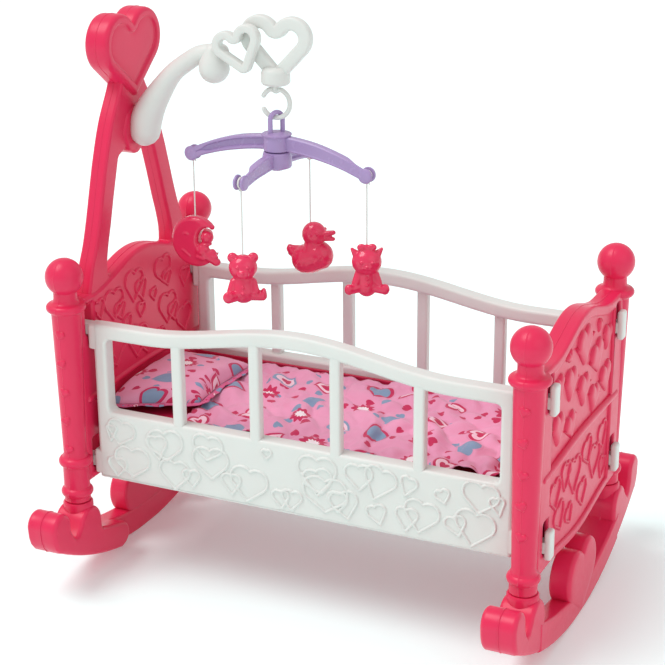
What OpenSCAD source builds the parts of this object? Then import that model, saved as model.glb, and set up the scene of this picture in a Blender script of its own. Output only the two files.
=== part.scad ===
// Rocking cradle for a toy doll, with a mobile of four charms on a curved arm.
// X runs from the head end (-) to the foot end (+), Y from the front (-) to the rear (+), and Z is up.
// The origin is on the floor, under the middle of the bed.

/* [End frames] */
// Distance from the middle of the bed to the centre plane of each end frame
frame_x = 225; // [220:1:240]
// Distance from the middle of the bed to each corner post's axis
post_y = 123; // [120:1:126]
// Thickness of the headboard and the footboard
board_t = 22; // [18:1:24]
// Radius of the ball on each post
ball_r = 17.7; // [15:0.1:19]
// Height of the balls' centres
ball_z = 305; // [300:1:312]
// Radius of a post's shaft at its top
shaft_top_r = 14; // [12:0.5:15]
// Radius of a post's shaft at its foot
shaft_foot_r = 10.8; // [10:0.1:12]
// Height of the footboard's top edge at its middle
foot_crown_z = 297; // [290:1:305]
// Height of the headboard's top edge between the legs of the A
head_crown_z = 300; // [292:1:302]
// Thickness of the A frame above the headboard
leg_t = 17; // [14:1:20]
// Thickness of the heart on top of the A frame
finial_t = 25; // [20:1:28]

/* [Rockers] */
// Radius of the rocking edge
rock_r = 340; // [320:5:380]
// Height of the rocker's bow
bow_h = 27; // [22:1:30]
// Half the length of the flat that the cradle stands on
rest_half = 15; // [10:1:18]
// Thickness of the rocker's ends, where the posts stand
rocker_t = 32.5; // [30:0.5:34]
// Thickness of the bow between them
bow_t = 20; // [16:1:22]

/* [Side panels] */
// Thickness of a side panel
panel_t = 16; // [12:1:18]
// Height of the panel's bottom edge
band_low_z = 100; // [96:1:104]
// Height of the top of the solid band
band_top_z = 169; // [165:1:172]
// Height of the rail's top edge at its two ends
rail_end_z = 256; // [252:1:258]
// How much higher the rail is at its middle
rail_rise = 18.5; // [10:0.5:22]
// Height of the rail itself
rail_h = 14; // [12:0.5:16]
// Width of one slat
slat_w = 10.8; // [8:0.2:14]
// Thickness of one slat
slat_t = 11; // [8:0.5:12]

/* [Bed] */
// Height of the tray's floor
floor_z = 156; // [154:1:158]
// Thickness of the pillow
pillow_h = 32; // [24:1:36]
// Room that the bedspread's creases take above the tray
spread_h = 8; // [6:1:10]

/* [Mobile] */
// Place of the mobile's axis along the bed
mobile_x = -66; // [-70:1:-62]
// Distance from the mobile's axis to the strings of the long bar
long_reach = 92.5; // [80:0.5:100]
// Distance from the mobile's axis to the strings of the short bar
short_reach = 63; // [55:0.5:70]
// Turn of the long bar about the mobile's axis, in degrees
long_yaw = -3.5; // [-10:0.5:10]
// Turn of the short bar about the mobile's axis, in degrees
short_yaw = 86.4; // [80:0.2:100]
// Thickness of the hook's wire and of the loop's
wire_d = 4.5; // [4:0.1:4.8]
// Diameter of the strings
string_d = 1.4; // [1.2:0.1:1.8]

/* [Hidden] */
$fn = 64;

PINK = [0.88, 0.2, 0.4];
WHITE = [0.9, 0.9, 0.88];
PURPLE = [0.68, 0.58, 0.82];
FABRIC = [0.95, 0.6, 0.75];

// End frames
board_face = frame_x - board_t / 2;
shoulder_z = 280;
post_foot_z = 80;
peg_r = 8;
peg_len = 24;
collar_z = 276;
collar_r = 18.5;
bead = 5;
socket_gap = 0.3;
finial_lobe = [22, 28];
finial_tip_z = 449;
finial_h = 53;
arm_seat_z = 417;
arm_peg_r = 8;
arm_peg_len = 14;
seat_gap = 0.2;

// Rockers
rest_drop = rock_r - sqrt(rock_r * rock_r - rest_half * rest_half);
rock_z = rock_r - rest_drop;
scroll_y = 174;
scroll_z = 74;
scroll_r = 14;
block_y = 125;
block_r = 18;
block_z = 57;
boot_end_y = 71;
rocker_in = frame_x - rocker_t / 2;
bow_out = frame_x + 17;
emblem_lobe = [17, 25];

// Side panels
panel_end = board_face - 6;
panel_out = 107.9;
panel_in = panel_out - panel_t;
stile_w = 13;
rail_span = 155;
tab_y = 100;
tab_t = 11.4;
tab_h = 15;
drop = 6;
hook_h = 28;
hook_t = 6.7;
hook_z = [238, 103.5];
ledge_w = 5;
ledge_h = 6;
tray_wall = 3;
tray_h = 18;
tray_low_z = floor_z - 12;
fit = 0.4;

// Mobile; the arm's stops are [x, z, radius] in the plane Y = 0
arm_route = [
    [-206, 417, 15], [-203, 430, 15], [-193, 448, 12.6], [-174, 473, 9.2],
    [-156, 487, 8.6], [-142, 495, 8], [-122, 498, 8]
];
swell = 0.25;
heart_t = 10;
cup_z = 472.5;
cup_r = 13.5;
cup_h = 16.5;
stem_r = 3;
run = 0.05;
hook_mid_z = 455.5;
hook_r = 13.5;
hook_yaw = 5;
loop_yaw = 60;
loop_half = 6.75;
loop_top_z = hook_mid_z - hook_r + 1.5 * wire_d + 0.5;
disc_z = 426;
joint_z = 411;
hub_low_z = 395;
hub_r = 12.5;
pin_r = 4;
spool_r = 7;
neck_r = 4;
bar_w = 8;
bar_h = 13;
bar_end_h = 11;
channel_h = 2.2;
channel_depth = 1.6;
flange_t = 2.5;
neck_off = 1;
neck_len = 9;
long_end_z = 398.5;
short_end_z = 395.8;
knot_r = 1.8;
knot_drop = 1.2;
tie = neck_r + 1;

// Where each string hangs, from the knot under its spool down to its charm
moon_route = [[-158.3, 6.6, 393], [-158.3, 6.6, 335]];
cat_route = [[26.4, -4.7, 393], [26.4, -4.7, 333]];
bear_route = [[-71, -62.8, 390], [-71, -62.8, 326]];
duck_route = [[-63, 62.9, 390], [-63, 62.9, 325]];

// ---- Shared shapes ----

// Height of a wave that crests at the middle and is level from its span outwards
function crest(u, span) = abs(u) < span ? 0.5 + 0.5 * cos(180 * u / span) : 0;

// A stop on the arm as a point in space
function arm_stop(k) = [arm_route[k][0], 0, arm_route[k][1]];

// Angle of a heart's straight side from the vertical
function lean(a, r, h) = atan2(a, h) + asin(r / norm([a, h]));

// An outline in the Y-Z plane, extruded along X from x
module across(x, t) {
    translate([x, 0, 0]) rotate([90, 0, 90]) linear_extrude(t) children();
}

// An outline in the X-Z plane, extruded along Y from y
module along(y, t) {
    translate([0, y + t, 0]) rotate([90, 0, 0]) linear_extrude(t) children();
}

// A heart with its tip at the origin and its lobes' centres a to each side at height h
module heart(a, r, h, inset = 0) {
    side = lean(a, r, h);
    lobe = r - inset;
    foot = [a + lobe * cos(side), h - lobe * sin(side)];
    notch = h + sqrt(r * r - a * a);
    top = inset > 0 ? [[a, h + lobe], [-a, h + lobe]] : [[a, h], [0, notch], [-a, h]];
    difference() {
        union() {
            for (s = [-1, 1]) translate([s * a, h]) circle(lobe);
            polygon(concat([[0, inset / sin(side)], foot], top, [[-foot[0], foot[1]]]));
        }
        if (inset > 0) translate([0, notch]) circle(inset);
    }
}

// A tapered round limb from p to q
module limb(p, q, r1, r2) {
    d = q - p;
    translate(p)
        rotate([0, acos(d[2] / norm(d)), atan2(d[1], d[0])])
            cylinder(h = norm(d), r1 = r1, r2 = r2);
}

module ball(p, r) {
    translate(p) sphere(r);
}

// ---- End frames ----

// Half outline of a post, turned about its axis; each ring is [height, radius]
module post(rings, waist_r) {
    top_ring = rings[0][0] + bead + 3;
    cap = collar_z + 4;
    rotate_extrude() {
        polygon([
            [0, post_foot_z], [waist_r, post_foot_z], [waist_r, top_ring - 3],
            [shaft_foot_r, top_ring], [shaft_top_r, collar_z - 4], [collar_r - 4, collar_z - 4],
            [collar_r - 4, cap], [11, cap + 7], [11, ball_z - 10], [0, ball_z - 10]
        ]);
        translate([collar_r - 4, collar_z]) circle(4);
        for (ring = rings) translate([ring[1] - bead, ring[0]]) circle(bead);
        intersection() {
            translate([0, ball_z]) circle(ball_r);
            translate([0, ball_z - ball_r]) square(2 * ball_r);
        }
    }
    translate([0, 0, post_foot_z - peg_len]) cylinder(h = peg_len + 1, r = peg_r);
}

// Outline of a board between the posts, with a crown on top and a dip below
module board_outline(crown_z, span, low_z) {
    rise = crown_z - shoulder_z;
    steps = 24;
    ys = [for (k = [0:steps]) -post_y + 2 * post_y * k / steps];
    polygon(concat(
        [for (y = ys) [y, shoulder_z + rise * crest(y, span)]],
        [for (k = [steps:-1:0]) [ys[k], low_z - 9 * crest(ys[k], 100)]]
    ));
}

// The upright slots that take the side panels' hooks
module hook_slots() {
    for (s = [-1, 1], z = hook_z)
        translate([-board_t, s * tab_y - tab_t / 2 - fit, z + drop])
            cube([2 * board_t, tab_t + 2 * fit, hook_h + 1]);
}

// Both legs of the A with the web and the neck that join them, before the gap is cut
module a_frame_outline() {
    outer = [[18, 470], [24, 458], [41, 430], [54.5, 396], [63, 369], [71, 343], [79, 321], [88, 302], [98, 275]];
    polygon(concat(outer, [for (k = [len(outer) - 1:-1:0]) [-outer[k][0], outer[k][1]]]));
}

module a_frame_gap() {
    inner = [[31, 397], [42, 363], [50, 336], [56, 318], [60, 301], [60, 290]];
    polygon(concat(inner, [for (k = [len(inner) - 1:-1:0]) [-inner[k][0], inner[k][1]]]));
}

module headboard() {
    color(PINK) difference() {
        union() {
            across(-board_face - board_t, board_t) board_outline(head_crown_z, 95, 97);
            for (s = [-1, 1]) translate([-frame_x, s * post_y, 0]) post([[121.4, 15.9], [89.8, 15.2]], 12.3);
            across(-frame_x - leg_t / 2, leg_t) difference() {
                a_frame_outline();
                a_frame_gap();
            }
            across(-frame_x - leg_t / 2, leg_t + 2) translate([0, arm_seat_z]) circle(23);
            across(-frame_x - finial_t / 2, finial_t)
                translate([0, finial_tip_z]) heart(finial_lobe[0], finial_lobe[1], finial_h);
        }
        translate([-frame_x, 0, 0]) hook_slots();
        arm_room(seat_gap);
    }
}

module footboard() {
    color(PINK) difference() {
        union() {
            across(board_face, board_t) board_outline(foot_crown_z, 85, 91);
            for (s = [-1, 1]) translate([frame_x, s * post_y, 0]) post([[94, 15]], 12.4);
        }
        translate([frame_x, 0, 0]) hook_slots();
    }
}

// ---- Rockers ----

// The bow between two rocking arcs, from y0 to y1
module bow_outline(y0, y1) {
    intersection() {
        difference() {
            translate([0, rock_z]) circle(rock_r, $fn = 180);
            translate([0, rock_z]) circle(rock_r - bow_h, $fn = 180);
        }
        translate([y0, 0]) square([y1 - y0, 100]);
    }
}

// The end of a rocker: the scroll, the block under the post and the bow that joins them
module rocker_end_outline() {
    foot = rock_z - sqrt(rock_r * rock_r - scroll_y * scroll_y);
    difference() {
        union() {
            translate([scroll_y, scroll_z]) circle(scroll_r);
            polygon([
                [scroll_y - scroll_r, scroll_z], [scroll_y + scroll_r, scroll_z],
                [scroll_y + 10, foot + 8], [scroll_y, foot], [scroll_y - scroll_r, foot - 8]
            ]);
            bow_outline(100, scroll_y);
            translate([block_y, block_z]) circle(block_r);
            translate([block_y - block_r, 30]) square([2 * block_r, block_z - 30]);
        }
        polygon([[block_y + block_r, 90], [scroll_y - scroll_r, 90], [scroll_y - scroll_r, 72], [152, 55], [144, 66]]);
        difference() {
            square([260, 90]);
            translate([0, rock_z]) circle(rock_r, $fn = 180);
            translate([scroll_y - 2, 45]) square([20, 45]);
        }
    }
}

module boot_outline() {
    mid_r = rock_r - bow_h / 2;
    end_z = rock_z - sqrt(mid_r * mid_r - boot_end_y * boot_end_y);
    bow_outline(boot_end_y, block_y);
    translate([boot_end_y, end_z]) circle(bow_h / 2 - 1);
}

// A rocker at the foot end; the head's is its mirror image
module rocker() {
    difference() {
        union() {
            across(bow_out - bow_t, bow_t) bow_outline(-120, 120);
            across(bow_out - bow_t, bow_t + 1) intersection() {
                translate([0, 1]) heart(emblem_lobe[0], emblem_lobe[1], 44);
                translate([0, rock_z]) circle(rock_r, $fn = 180);
            }
            for (s = [0, 1]) mirror([0, s, 0]) {
                across(rocker_in, rocker_t) rocker_end_outline();
                across(rocker_in, rocker_t / 2) boot_outline();
                translate([frame_x, post_y, 50]) cylinder(h = post_foot_z - socket_gap - 50, r = 14.5);
            }
        }
        for (s = [-1, 1])
            translate([frame_x, s * post_y, post_foot_z - peg_len - 1]) cylinder(h = 40, r = peg_r + 0.1);
        translate([0, -100, -20]) cube([300, 200, 20]);
    }
}

module foot_rocker() {
    color(PINK) rocker();
}

module head_rocker() {
    color(PINK) mirror([1, 0, 0]) rocker();
}

// ---- Side panels ----

function rail_top(x) = rail_end_z + rail_rise * crest(x, rail_span);

module panel_outline() {
    xs = [for (k = [-16:16]) panel_end * k / 16];
    polygon(concat(
        [[-panel_end, band_low_z]],
        [for (x = xs) [x, rail_top(x)]],
        [[panel_end, band_low_z]]
    ));
}

// The opening between the band, the rail and the two stiles
module window_outline(lip = 0) {
    edge = panel_end - stile_w + lip;
    xs = [for (k = [-16:16]) edge * k / 16];
    polygon(concat(
        [[-edge, band_top_z - lip]],
        [for (x = xs) [x, rail_top(x) - rail_h + lip]],
        [[edge, band_top_z - lip]]
    ));
}

// A tab that crosses to the end frame and the hook behind the board
module panel_hook(z) {
    reach = board_face + board_t + 0.3;
    translate([panel_end - 6, -tab_y - tab_t / 2, z + drop + 0.2]) cube([reach - panel_end + 7, tab_t, tab_h]);
    translate([reach, -tab_y - tab_t / 2, z]) cube([hook_t, tab_t, hook_h]);
}

module side_panel() {
    pitch = 2 * (panel_end - stile_w + slat_w / 2) / 5;
    along(-panel_out, panel_t) difference() {
        panel_outline();
        window_outline();
    }
    along(-panel_out, slat_t) intersection() {
        window_outline(1);
        for (k = [-1.5:1.5]) translate([k * pitch - slat_w / 2, band_top_z - 2]) square([slat_w, 120]);
    }
    for (s = [0, 1], z = hook_z) mirror([s, 0, 0]) panel_hook(z);
    translate([-180, -panel_in - 0.5, tray_low_z - ledge_h]) cube([360, ledge_w + 0.5, ledge_h]);
}

module front_side_panel() {
    color(WHITE) side_panel();
}

module rear_side_panel() {
    color(WHITE) mirror([0, 1, 0]) side_panel();
}

// ---- Bed ----

module bed_tray() {
    half_x = board_face - fit;
    half_y = panel_in - fit;
    wall = 2 * tray_wall;
    color(PINK) difference() {
        translate([-half_x, -half_y, tray_low_z]) cube([2 * half_x, 2 * half_y, tray_h]);
        translate([-half_x + tray_wall, -half_y + tray_wall, floor_z])
            cube([2 * half_x - wall, 2 * half_y - wall, tray_h]);
        for (k = [0:3])
            translate([-half_x + tray_wall + k * (2 * half_x - tray_wall) / 4, -half_y + 9, tray_low_z - 1])
                cube([(2 * half_x - tray_wall) / 4 - tray_wall, 2 * half_y - 18, 10]);
    }
}

module pillow() {
    w = 68;
    color(FABRIC) translate([-170, 0, floor_z + 0.4]) along(-82, 132) intersection() {
        translate([0, -48 + pillow_h]) circle(48);
        translate([-w / 2, 0]) square([w, pillow_h]);
    }
}

module bedspread() {
    color(FABRIC) translate([-129, -87, floor_z + 0.4]) cube([337, 174, spread_h]);
}

// ---- Arm and heart rings ----

// The curved tube from stop first to stop last, with a slightly fuller ball at each stop
module arm_tube(first, last, gap = 0) {
    for (k = [first:last - 1])
        limb(arm_stop(k), arm_stop(k + 1), arm_route[k][2] + gap, arm_route[k + 1][2] + gap);
    for (k = [first:last]) ball(arm_stop(k), arm_route[k][2] + swell + gap);
}

module mobile_arm() {
    color(WHITE) {
        arm_tube(0, len(arm_route) - 1);
        acorn();
        arm_peg();
    }
}

// The peg that holds the arm in the headboard
module arm_peg(gap = 0) {
    translate([arm_route[0][0] - arm_peg_len - 8, 0, arm_route[0][1]])
        rotate([0, 90, 0]) cylinder(h = arm_peg_len + 8, r = arm_peg_r + gap);
}

// The bulb that hangs at the arm's far end
module acorn(gap = 0) {
    ball([-129, 0, 483], 14.5 + gap);
    limb([-129, 0, 483], [-129, 0, 497], 14.5 + gap, 9 + gap);
}

// Room in the headboard for the arm's lower bulb and its peg
module arm_room(gap) {
    arm_tube(0, 2, gap);
    arm_peg(gap);
}

// A flat heart-shaped ring; the inner outline follows the outer one at an even distance
module heart_ring(a, r, h, band) {
    difference() {
        heart(a, r, h);
        heart(a, r, h, band);
    }
}

module small_heart_ring() {
    color(WHITE) difference() {
        along(-heart_t * 1.5, heart_t) translate([-88.7, 480]) rotate(20) heart_ring(11.5, 13, 33, 8);
        arm_tube(len(arm_route) - 2, len(arm_route) - 1, run);
        acorn(run);
    }
}

module large_heart_ring() {
    color(WHITE) difference() {
        union() {
            along(-heart_t / 2, heart_t) translate([mobile_x + 1.5, 471]) heart_ring(16, 19.5, 45, 12.5);
            translate([mobile_x, 0, cup_z]) cylinder(h = cup_h, r = cup_r);
        }
        translate([mobile_x, 0, cup_z - 10]) cylinder(h = 15, r = stem_r + run);
        translate([mobile_x, 0, cup_z + 3]) cylinder(h = 10, r = 7.5);
    }
}

// ---- Mobile ----

module swivel_hook() {
    gap = 28;
    color(WHITE) translate([mobile_x, 0, 0]) {
        translate([0, 0, hook_mid_z + hook_r - 1]) cylinder(h = cup_z + 8 - hook_mid_z - hook_r, r = stem_r);
        translate([0, 0, cup_z + 3.3]) cylinder(h = 3.4, r = 6);
        translate([0, 0, hook_mid_z]) rotate([90, 0, hook_yaw]) rotate(gap - 180)
            rotate_extrude(angle = 360 - 2 * gap) translate([hook_r, 0]) circle(wire_d / 2, $fn = 32);
    }
}

// Side view of a bar that droops from the hub to both ends, and narrows towards them
module bar_outline(reach, mid_z, end_z, h_mid, h_end) {
    end = reach - spool_r - 1;
    us = [for (k = [-12:12]) end * k / 12];
    polygon(concat(
        [for (u = us) [u, mid_z - (mid_z - end_z) * pow(u / reach, 2) + (h_mid + (h_end - h_mid) * abs(u / end)) / 2]],
        [for (k = [24:-1:0]) let (u = us[k])
            [u, mid_z - (mid_z - end_z) * pow(u / reach, 2) - (h_mid + (h_end - h_mid) * abs(u / end)) / 2]]
    ));
}

// A bar along X with a channel down both sides; its front carries a bobbin for a string at each end
module bar(reach, mid_z, end_z) {
    tongue = spool_r + 3;
    difference() {
        along(-bar_w / 2, bar_w) bar_outline(reach, mid_z, end_z, bar_h, bar_end_h);
        for (s = [-1, 1])
            translate([0, s * (bar_w / 2), 0]) along(-channel_depth, 2 * channel_depth)
                bar_outline(reach - 4, mid_z, end_z, channel_h, channel_h);
    }
    for (s = [0, 1]) mirror([s, 0, 0]) {
        translate([reach - tongue, -bar_w / 2, end_z - bar_end_h / 2 + 1])
            cube([tongue, flange_t, bar_end_h - 2]);
        translate([reach, -bar_w / 2, end_z]) rotate([-90, 0, 0]) {
            cylinder(h = flange_t, r = spool_r);
            cylinder(h = neck_len, r = neck_r);
            translate([0, 0, 2 * neck_off + bar_w - flange_t]) cylinder(h = flange_t, r = spool_r);
        }
    }
}

module long_bar() {
    leg_low = disc_z - 2;
    bend_z = loop_top_z - wire_d / 2 - loop_half;
    color(PURPLE) translate([mobile_x, 0, 0]) {
        difference() {
            union() {
                rotate(long_yaw) bar(long_reach, 419, long_end_z);
                translate([0, 0, joint_z + 0.15]) cylinder(h = disc_z - joint_z, r = hub_r);
                translate([0, 0, disc_z - 0.5]) cylinder(h = 2, r = 14);
            }
            translate([0, 0, joint_z - 1]) cylinder(h = 10, r = pin_r + 0.02);
        }
        rotate([90, 0, loop_yaw]) {
            for (s = [-1, 1]) translate([s * loop_half, leg_low, 0]) rotate([-90, 0, 0])
                cylinder(h = bend_z - leg_low, r = wire_d / 2, $fn = 32);
            translate([0, bend_z, 0]) rotate_extrude(angle = 180)
                translate([loop_half, 0]) circle(wire_d / 2, $fn = 32);
        }
    }
}

module short_bar() {
    color(PURPLE) translate([mobile_x, 0, 0]) difference() {
        union() {
            rotate(short_yaw) bar(short_reach, 403.5, short_end_z);
            translate([0, 0, hub_low_z]) cylinder(h = joint_z - 0.15 - hub_low_z, r = hub_r + 1.3);
        }
        translate([0, 0, hub_low_z - 1]) cylinder(h = 40, r = pin_r + run);
    }
}

// The pin that holds the two hubs together, with its head underneath
module hub_pin() {
    color(PURPLE) translate([mobile_x, 0, 0]) {
        translate([0, 0, hub_low_z - 2.3]) cylinder(h = 2, r = 7);
        translate([0, 0, hub_low_z - 1]) cylinder(h = joint_z + 8 - hub_low_z, r = pin_r);
    }
}

// ---- Strings ----

// The loop of string round a bobbin's neck and the knot under it, at reach along a bar turned by yaw
module string_loop(reach, end_z, yaw) {
    color(WHITE) translate([mobile_x, 0, end_z]) rotate(yaw) translate([reach, neck_off, 0]) {
        rotate([90, 0, 0]) rotate(20) rotate_extrude() translate([tie, 0]) circle(string_d / 2, $fn = 24);
        translate([0, 0, -tie - knot_drop]) rotate(35) sphere(knot_r, $fn = 24);
    }
}

// A thin tube swept down a route, with rings of eight points
module string_tube(route) {
    steps = 15;
    top = route[0];
    low = route[1];
    rings = [for (k = [0:steps]) top + (low - top) * k / steps];
    points = [for (p = rings, a = [0:45:315]) p + string_d / 2 * [cos(a), sin(a), 0]];
    sides = [for (k = [0:steps - 1], j = [0:7])
        [8 * k + j, 8 * k + (j + 1) % 8, 8 * k + 8 + (j + 1) % 8, 8 * k + 8 + j]];
    caps = [[for (j = [7:-1:0]) j], [for (j = [0:7]) 8 * steps + j]];
    color(WHITE) polyhedron(points, concat(sides, caps));
}

module moon_loop() string_loop(-long_reach, long_end_z, long_yaw);
module cat_loop() string_loop(long_reach, long_end_z, long_yaw);
module bear_loop() string_loop(-short_reach, short_end_z, short_yaw);
module duck_loop() string_loop(short_reach, short_end_z, short_yaw);

module moon_string() string_tube(moon_route);
module cat_string() string_tube(cat_route);
module bear_string() string_tube(bear_route);
module duck_string() string_tube(duck_route);

// ---- Charms ----

// A crescent that opens towards +X, with a small sleeper sitting in it
module moon_charm() {
    color(PINK) translate([-158.3, 6.6, 311]) {
        along(-6, 12) difference() {
            circle(25);
            translate([17, 2.5]) circle(13.5);
        }
        ball([16.5, 0, 5], 6.5);
        ball([13.5, -1, -7.5], 8);
        limb([15, -1, -9], [24, -1.5, -17], 6, 4);
        ball([24, -1.5, -17], 4.2);
    }
}

// A sitting cat with a bow between its ears
module cat_charm() {
    color(PINK) translate([26.4, -4.7, 284]) rotate(25) {
        ball([0, 0, 33.5], 13);
        ball([0, -1, 47], 3.6);
        for (s = [-1, 1]) {
            limb([s * 9, 0, 40], [s * 14, 0, 46.5], 4.5, 1.5);
            ball([s * 4.5, -1.5, 47], 3.2);
            limb([s * 6, -1, 22], [s * 10.5, -4, 13], 4, 4);
            limb([s * 5, -2, 9], [s * 16, -8, 8.5], 5, 4.5);
            ball([s * 16.5, -8.5, 9], 5);
        }
        limb([0, 0, 2.5], [0, 0, 27], 10, 7);
    }
}

// A sitting bear, one leg to the front and one to the side
module bear_charm() {
    color(PINK) translate([-71, -62.8, 282]) rotate(25) {
        ball([0, 0, 34.5], 13);
        ball([0, -10.5, 31], 4.5);
        for (s = [-1, 1]) {
            ball([s * 9.5, 0, 43.5], 4.8);
            limb([s * 8.5, -2, 21], [s * 11.5, -6, 13], 4, 3.6);
        }
        limb([0, 0, 2.5], [0, 0, 26], 13, 9);
        limb([6, -3, 9], [18, -5, 8.5], 5.8, 5);
        ball([18, -5, 9], 5.4);
        limb([-6, -5, 9], [-13, -13, 8.5], 5.8, 5);
        ball([-13, -13, 9], 5.4);
    }
}

// A duck that looks towards +X
module duck_charm() {
    color(PINK) translate([-63, 62.9, 273]) {
        ball([4, 0, 41], 12);
        limb([4, 0, 40], [1, 0, 20], 9, 13);
        ball([0, 0, 16], 15.5);
        limb([0, 0, 16], [-20, 0, 26], 13, 4.5);
        limb([0, 0, 15], [13, 0, 17], 13.5, 10);
        limb([13, 0, 39], [24, 0, 38], 5, 2.5);
    }
}

headboard();
footboard();
head_rocker();
foot_rocker();
front_side_panel();
rear_side_panel();
bed_tray();
pillow();
bedspread();
mobile_arm();
small_heart_ring();
large_heart_ring();
swivel_hook();
long_bar();
short_bar();
hub_pin();
moon_loop();
cat_loop();
bear_loop();
duck_loop();
moon_string();
cat_string();
bear_string();
duck_string();
moon_charm();
cat_charm();
bear_charm();
duck_charm();
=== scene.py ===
"""A toy doll's rocking cradle with a mobile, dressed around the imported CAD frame.

Helper functions work in millimetres in the CAD frame (X head to foot, Y front to rear, Z up, floor at 0),
and each piece is turned into a mesh in metres at the end.
"""
import math

import bmesh
import bpy
import numpy as np
from mathutils import Matrix, Vector, noise
from mathutils.geometry import tessellate_polygon


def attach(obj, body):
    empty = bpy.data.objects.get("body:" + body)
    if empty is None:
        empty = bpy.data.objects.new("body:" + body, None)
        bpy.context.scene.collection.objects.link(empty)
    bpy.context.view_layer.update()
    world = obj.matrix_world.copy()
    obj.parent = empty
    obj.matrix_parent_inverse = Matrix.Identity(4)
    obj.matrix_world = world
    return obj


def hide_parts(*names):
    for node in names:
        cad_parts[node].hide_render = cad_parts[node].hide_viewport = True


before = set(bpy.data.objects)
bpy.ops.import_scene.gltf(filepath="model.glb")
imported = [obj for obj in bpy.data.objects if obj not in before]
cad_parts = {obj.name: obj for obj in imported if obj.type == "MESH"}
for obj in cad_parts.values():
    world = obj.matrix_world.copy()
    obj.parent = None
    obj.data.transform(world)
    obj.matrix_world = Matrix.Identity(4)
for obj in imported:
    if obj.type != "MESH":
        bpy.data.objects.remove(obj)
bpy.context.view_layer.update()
scene = bpy.context.scene
MM = 0.001

# Sizes shared with the CAD frame, in millimetres
FRAME_X = 225
POST_Y = 123
BOARD_T = 22
SHOULDER_Z = 280
BALL_R, BALL_Z = 17.7, 305
SHAFT_FOOT_R, SHAFT_TOP_R, SHAFT_TOP_Z = 10.8, 14, 270
LEG_T = 17
PANEL_T, PANEL_OUT, PANEL_END = 16, 107.9, 208
PANEL_Y = PANEL_OUT - PANEL_T / 2
BAND_LOW, BAND_TOP = 100, 169
RAIL_H, RAIL_END_Z, RAIL_RISE = 14, 256, 18.5
STILE_W = 13
SLAT_W, SLAT_T = 10.8, 11
FLOOR_Z = 156
MOBILE_X = -66
STRING_D = 1.4
WIRE_D = 4.5
ROCK_R, ROCK_Z, BOW_H, BOW_T = 340, 339.67, 27, 20
ROCKER_X, ROCKER_T = 232, 32.5
STRINGS = {
    "moon": ((-158.3, 6.6, 393), (-158.3, 6.6, 335)),
    "cat": ((26.4, -4.7, 393), (26.4, -4.7, 333)),
    "bear": ((-71, -62.8, 390), (-71, -62.8, 326)),
    "duck": ((-63, 62.9, 390), (-63, 62.9, 325)),
}
# The bars' reach, the height of their bobbins and their turn in degrees
LONG_BAR = (92.5, 398.5, -3.5)
SHORT_BAR = (63, 395.8, 86.4)


# ---- Cords and camera ----


def make_string(name, top, low):
    """A straight hanging string as a curve with a round bevel."""
    curve = bpy.data.curves.new(name, "CURVE")
    curve.dimensions = "3D"
    stops = 24
    spline = curve.splines.new("POLY")
    spline.points.add(stops)
    for k, point in enumerate(spline.points):
        spot = Vector(top).lerp(Vector(low), k / stops) * MM
        point.co = (*spot, 1)
    curve.bevel_depth = STRING_D / 2 * MM
    curve.bevel_resolution = 3
    curve.use_fill_caps = True
    obj = bpy.data.objects.new(name, curve)
    scene.collection.objects.link(obj)
    return obj


strings = {who: make_string(f"{who}_thread", *route) for who, route in STRINGS.items()}


def make_camera():
    """A long lens from the front right, a little above the cradle."""
    azimuth, elevation, roll = (math.radians(a) for a in (24.95, 20.28, -0.43))
    target, distance = Vector((-0.011, 0, 0.2407)), 1.642
    back = Vector((
        math.sin(azimuth) * math.cos(elevation),
        -math.cos(azimuth) * math.cos(elevation),
        math.sin(elevation),
    ))
    right = (-back).cross(Vector((0, 0, 1))).normalized()
    up = right.cross(-back)
    right, up = (
        right * math.cos(roll) + up * math.sin(roll),
        up * math.cos(roll) - right * math.sin(roll),
    )
    data = bpy.data.cameras.new("camera")
    data.sensor_width = 36
    data.lens = 94.4
    data.clip_end = 20
    camera = bpy.data.objects.new("camera", data)
    camera.matrix_world = Matrix.Translation(target + back * distance) @ Matrix(
        (right, up, back)
    ).transposed().to_4x4()
    scene.collection.objects.link(camera)
    scene.camera = camera


make_camera()

# ---- Materials ----


def fill(tree, node, inputs):
    """Links an input to another node's output, or sets its own value."""
    for key, value in inputs.items():
        if isinstance(value, bpy.types.NodeSocket):
            tree.links.new(value, node.inputs[key])
        else:
            node.inputs[key].default_value = value


def put(tree, kind, inputs=None, **settings):
    """Adds a shader node and sets its properties and its inputs, to values or to other nodes' outputs."""
    node = tree.nodes.new("ShaderNode" + kind)
    for key, value in settings.items():
        setattr(node, key, value)
    fill(tree, node, inputs or {})
    return node


def calc(tree, operation, *values):
    """A math node's output."""
    return put(tree, "Math", dict(enumerate(values)), operation=operation).outputs[0]


def blend(tree, amount, first, second):
    """A colour between first and second."""
    node = put(tree, "Mix", {0: amount, 6: first, 7: second}, data_type="RGBA")
    return node.outputs[2]


def bumps(tree, height, strength):
    """The normals of a surface whose unevenness is up to 0.2 mm high."""
    return put(tree, "Bump", {"Height": height, "Strength": strength, "Distance": 0.0002}).outputs["Normal"]


def new_material(name):
    material = bpy.data.materials.new(name)
    material.use_nodes = True
    tree = material.node_tree
    return material, tree, tree.nodes["Principled BSDF"]


def linear(red, green, blue):
    """An sRGB colour of 0 to 255 as linear values."""
    shares = [((c / 255 + 0.055) / 1.055) ** 2.4 if c > 10 else c / 3294 for c in (red, green, blue)]
    return (*shares, 1)


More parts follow.
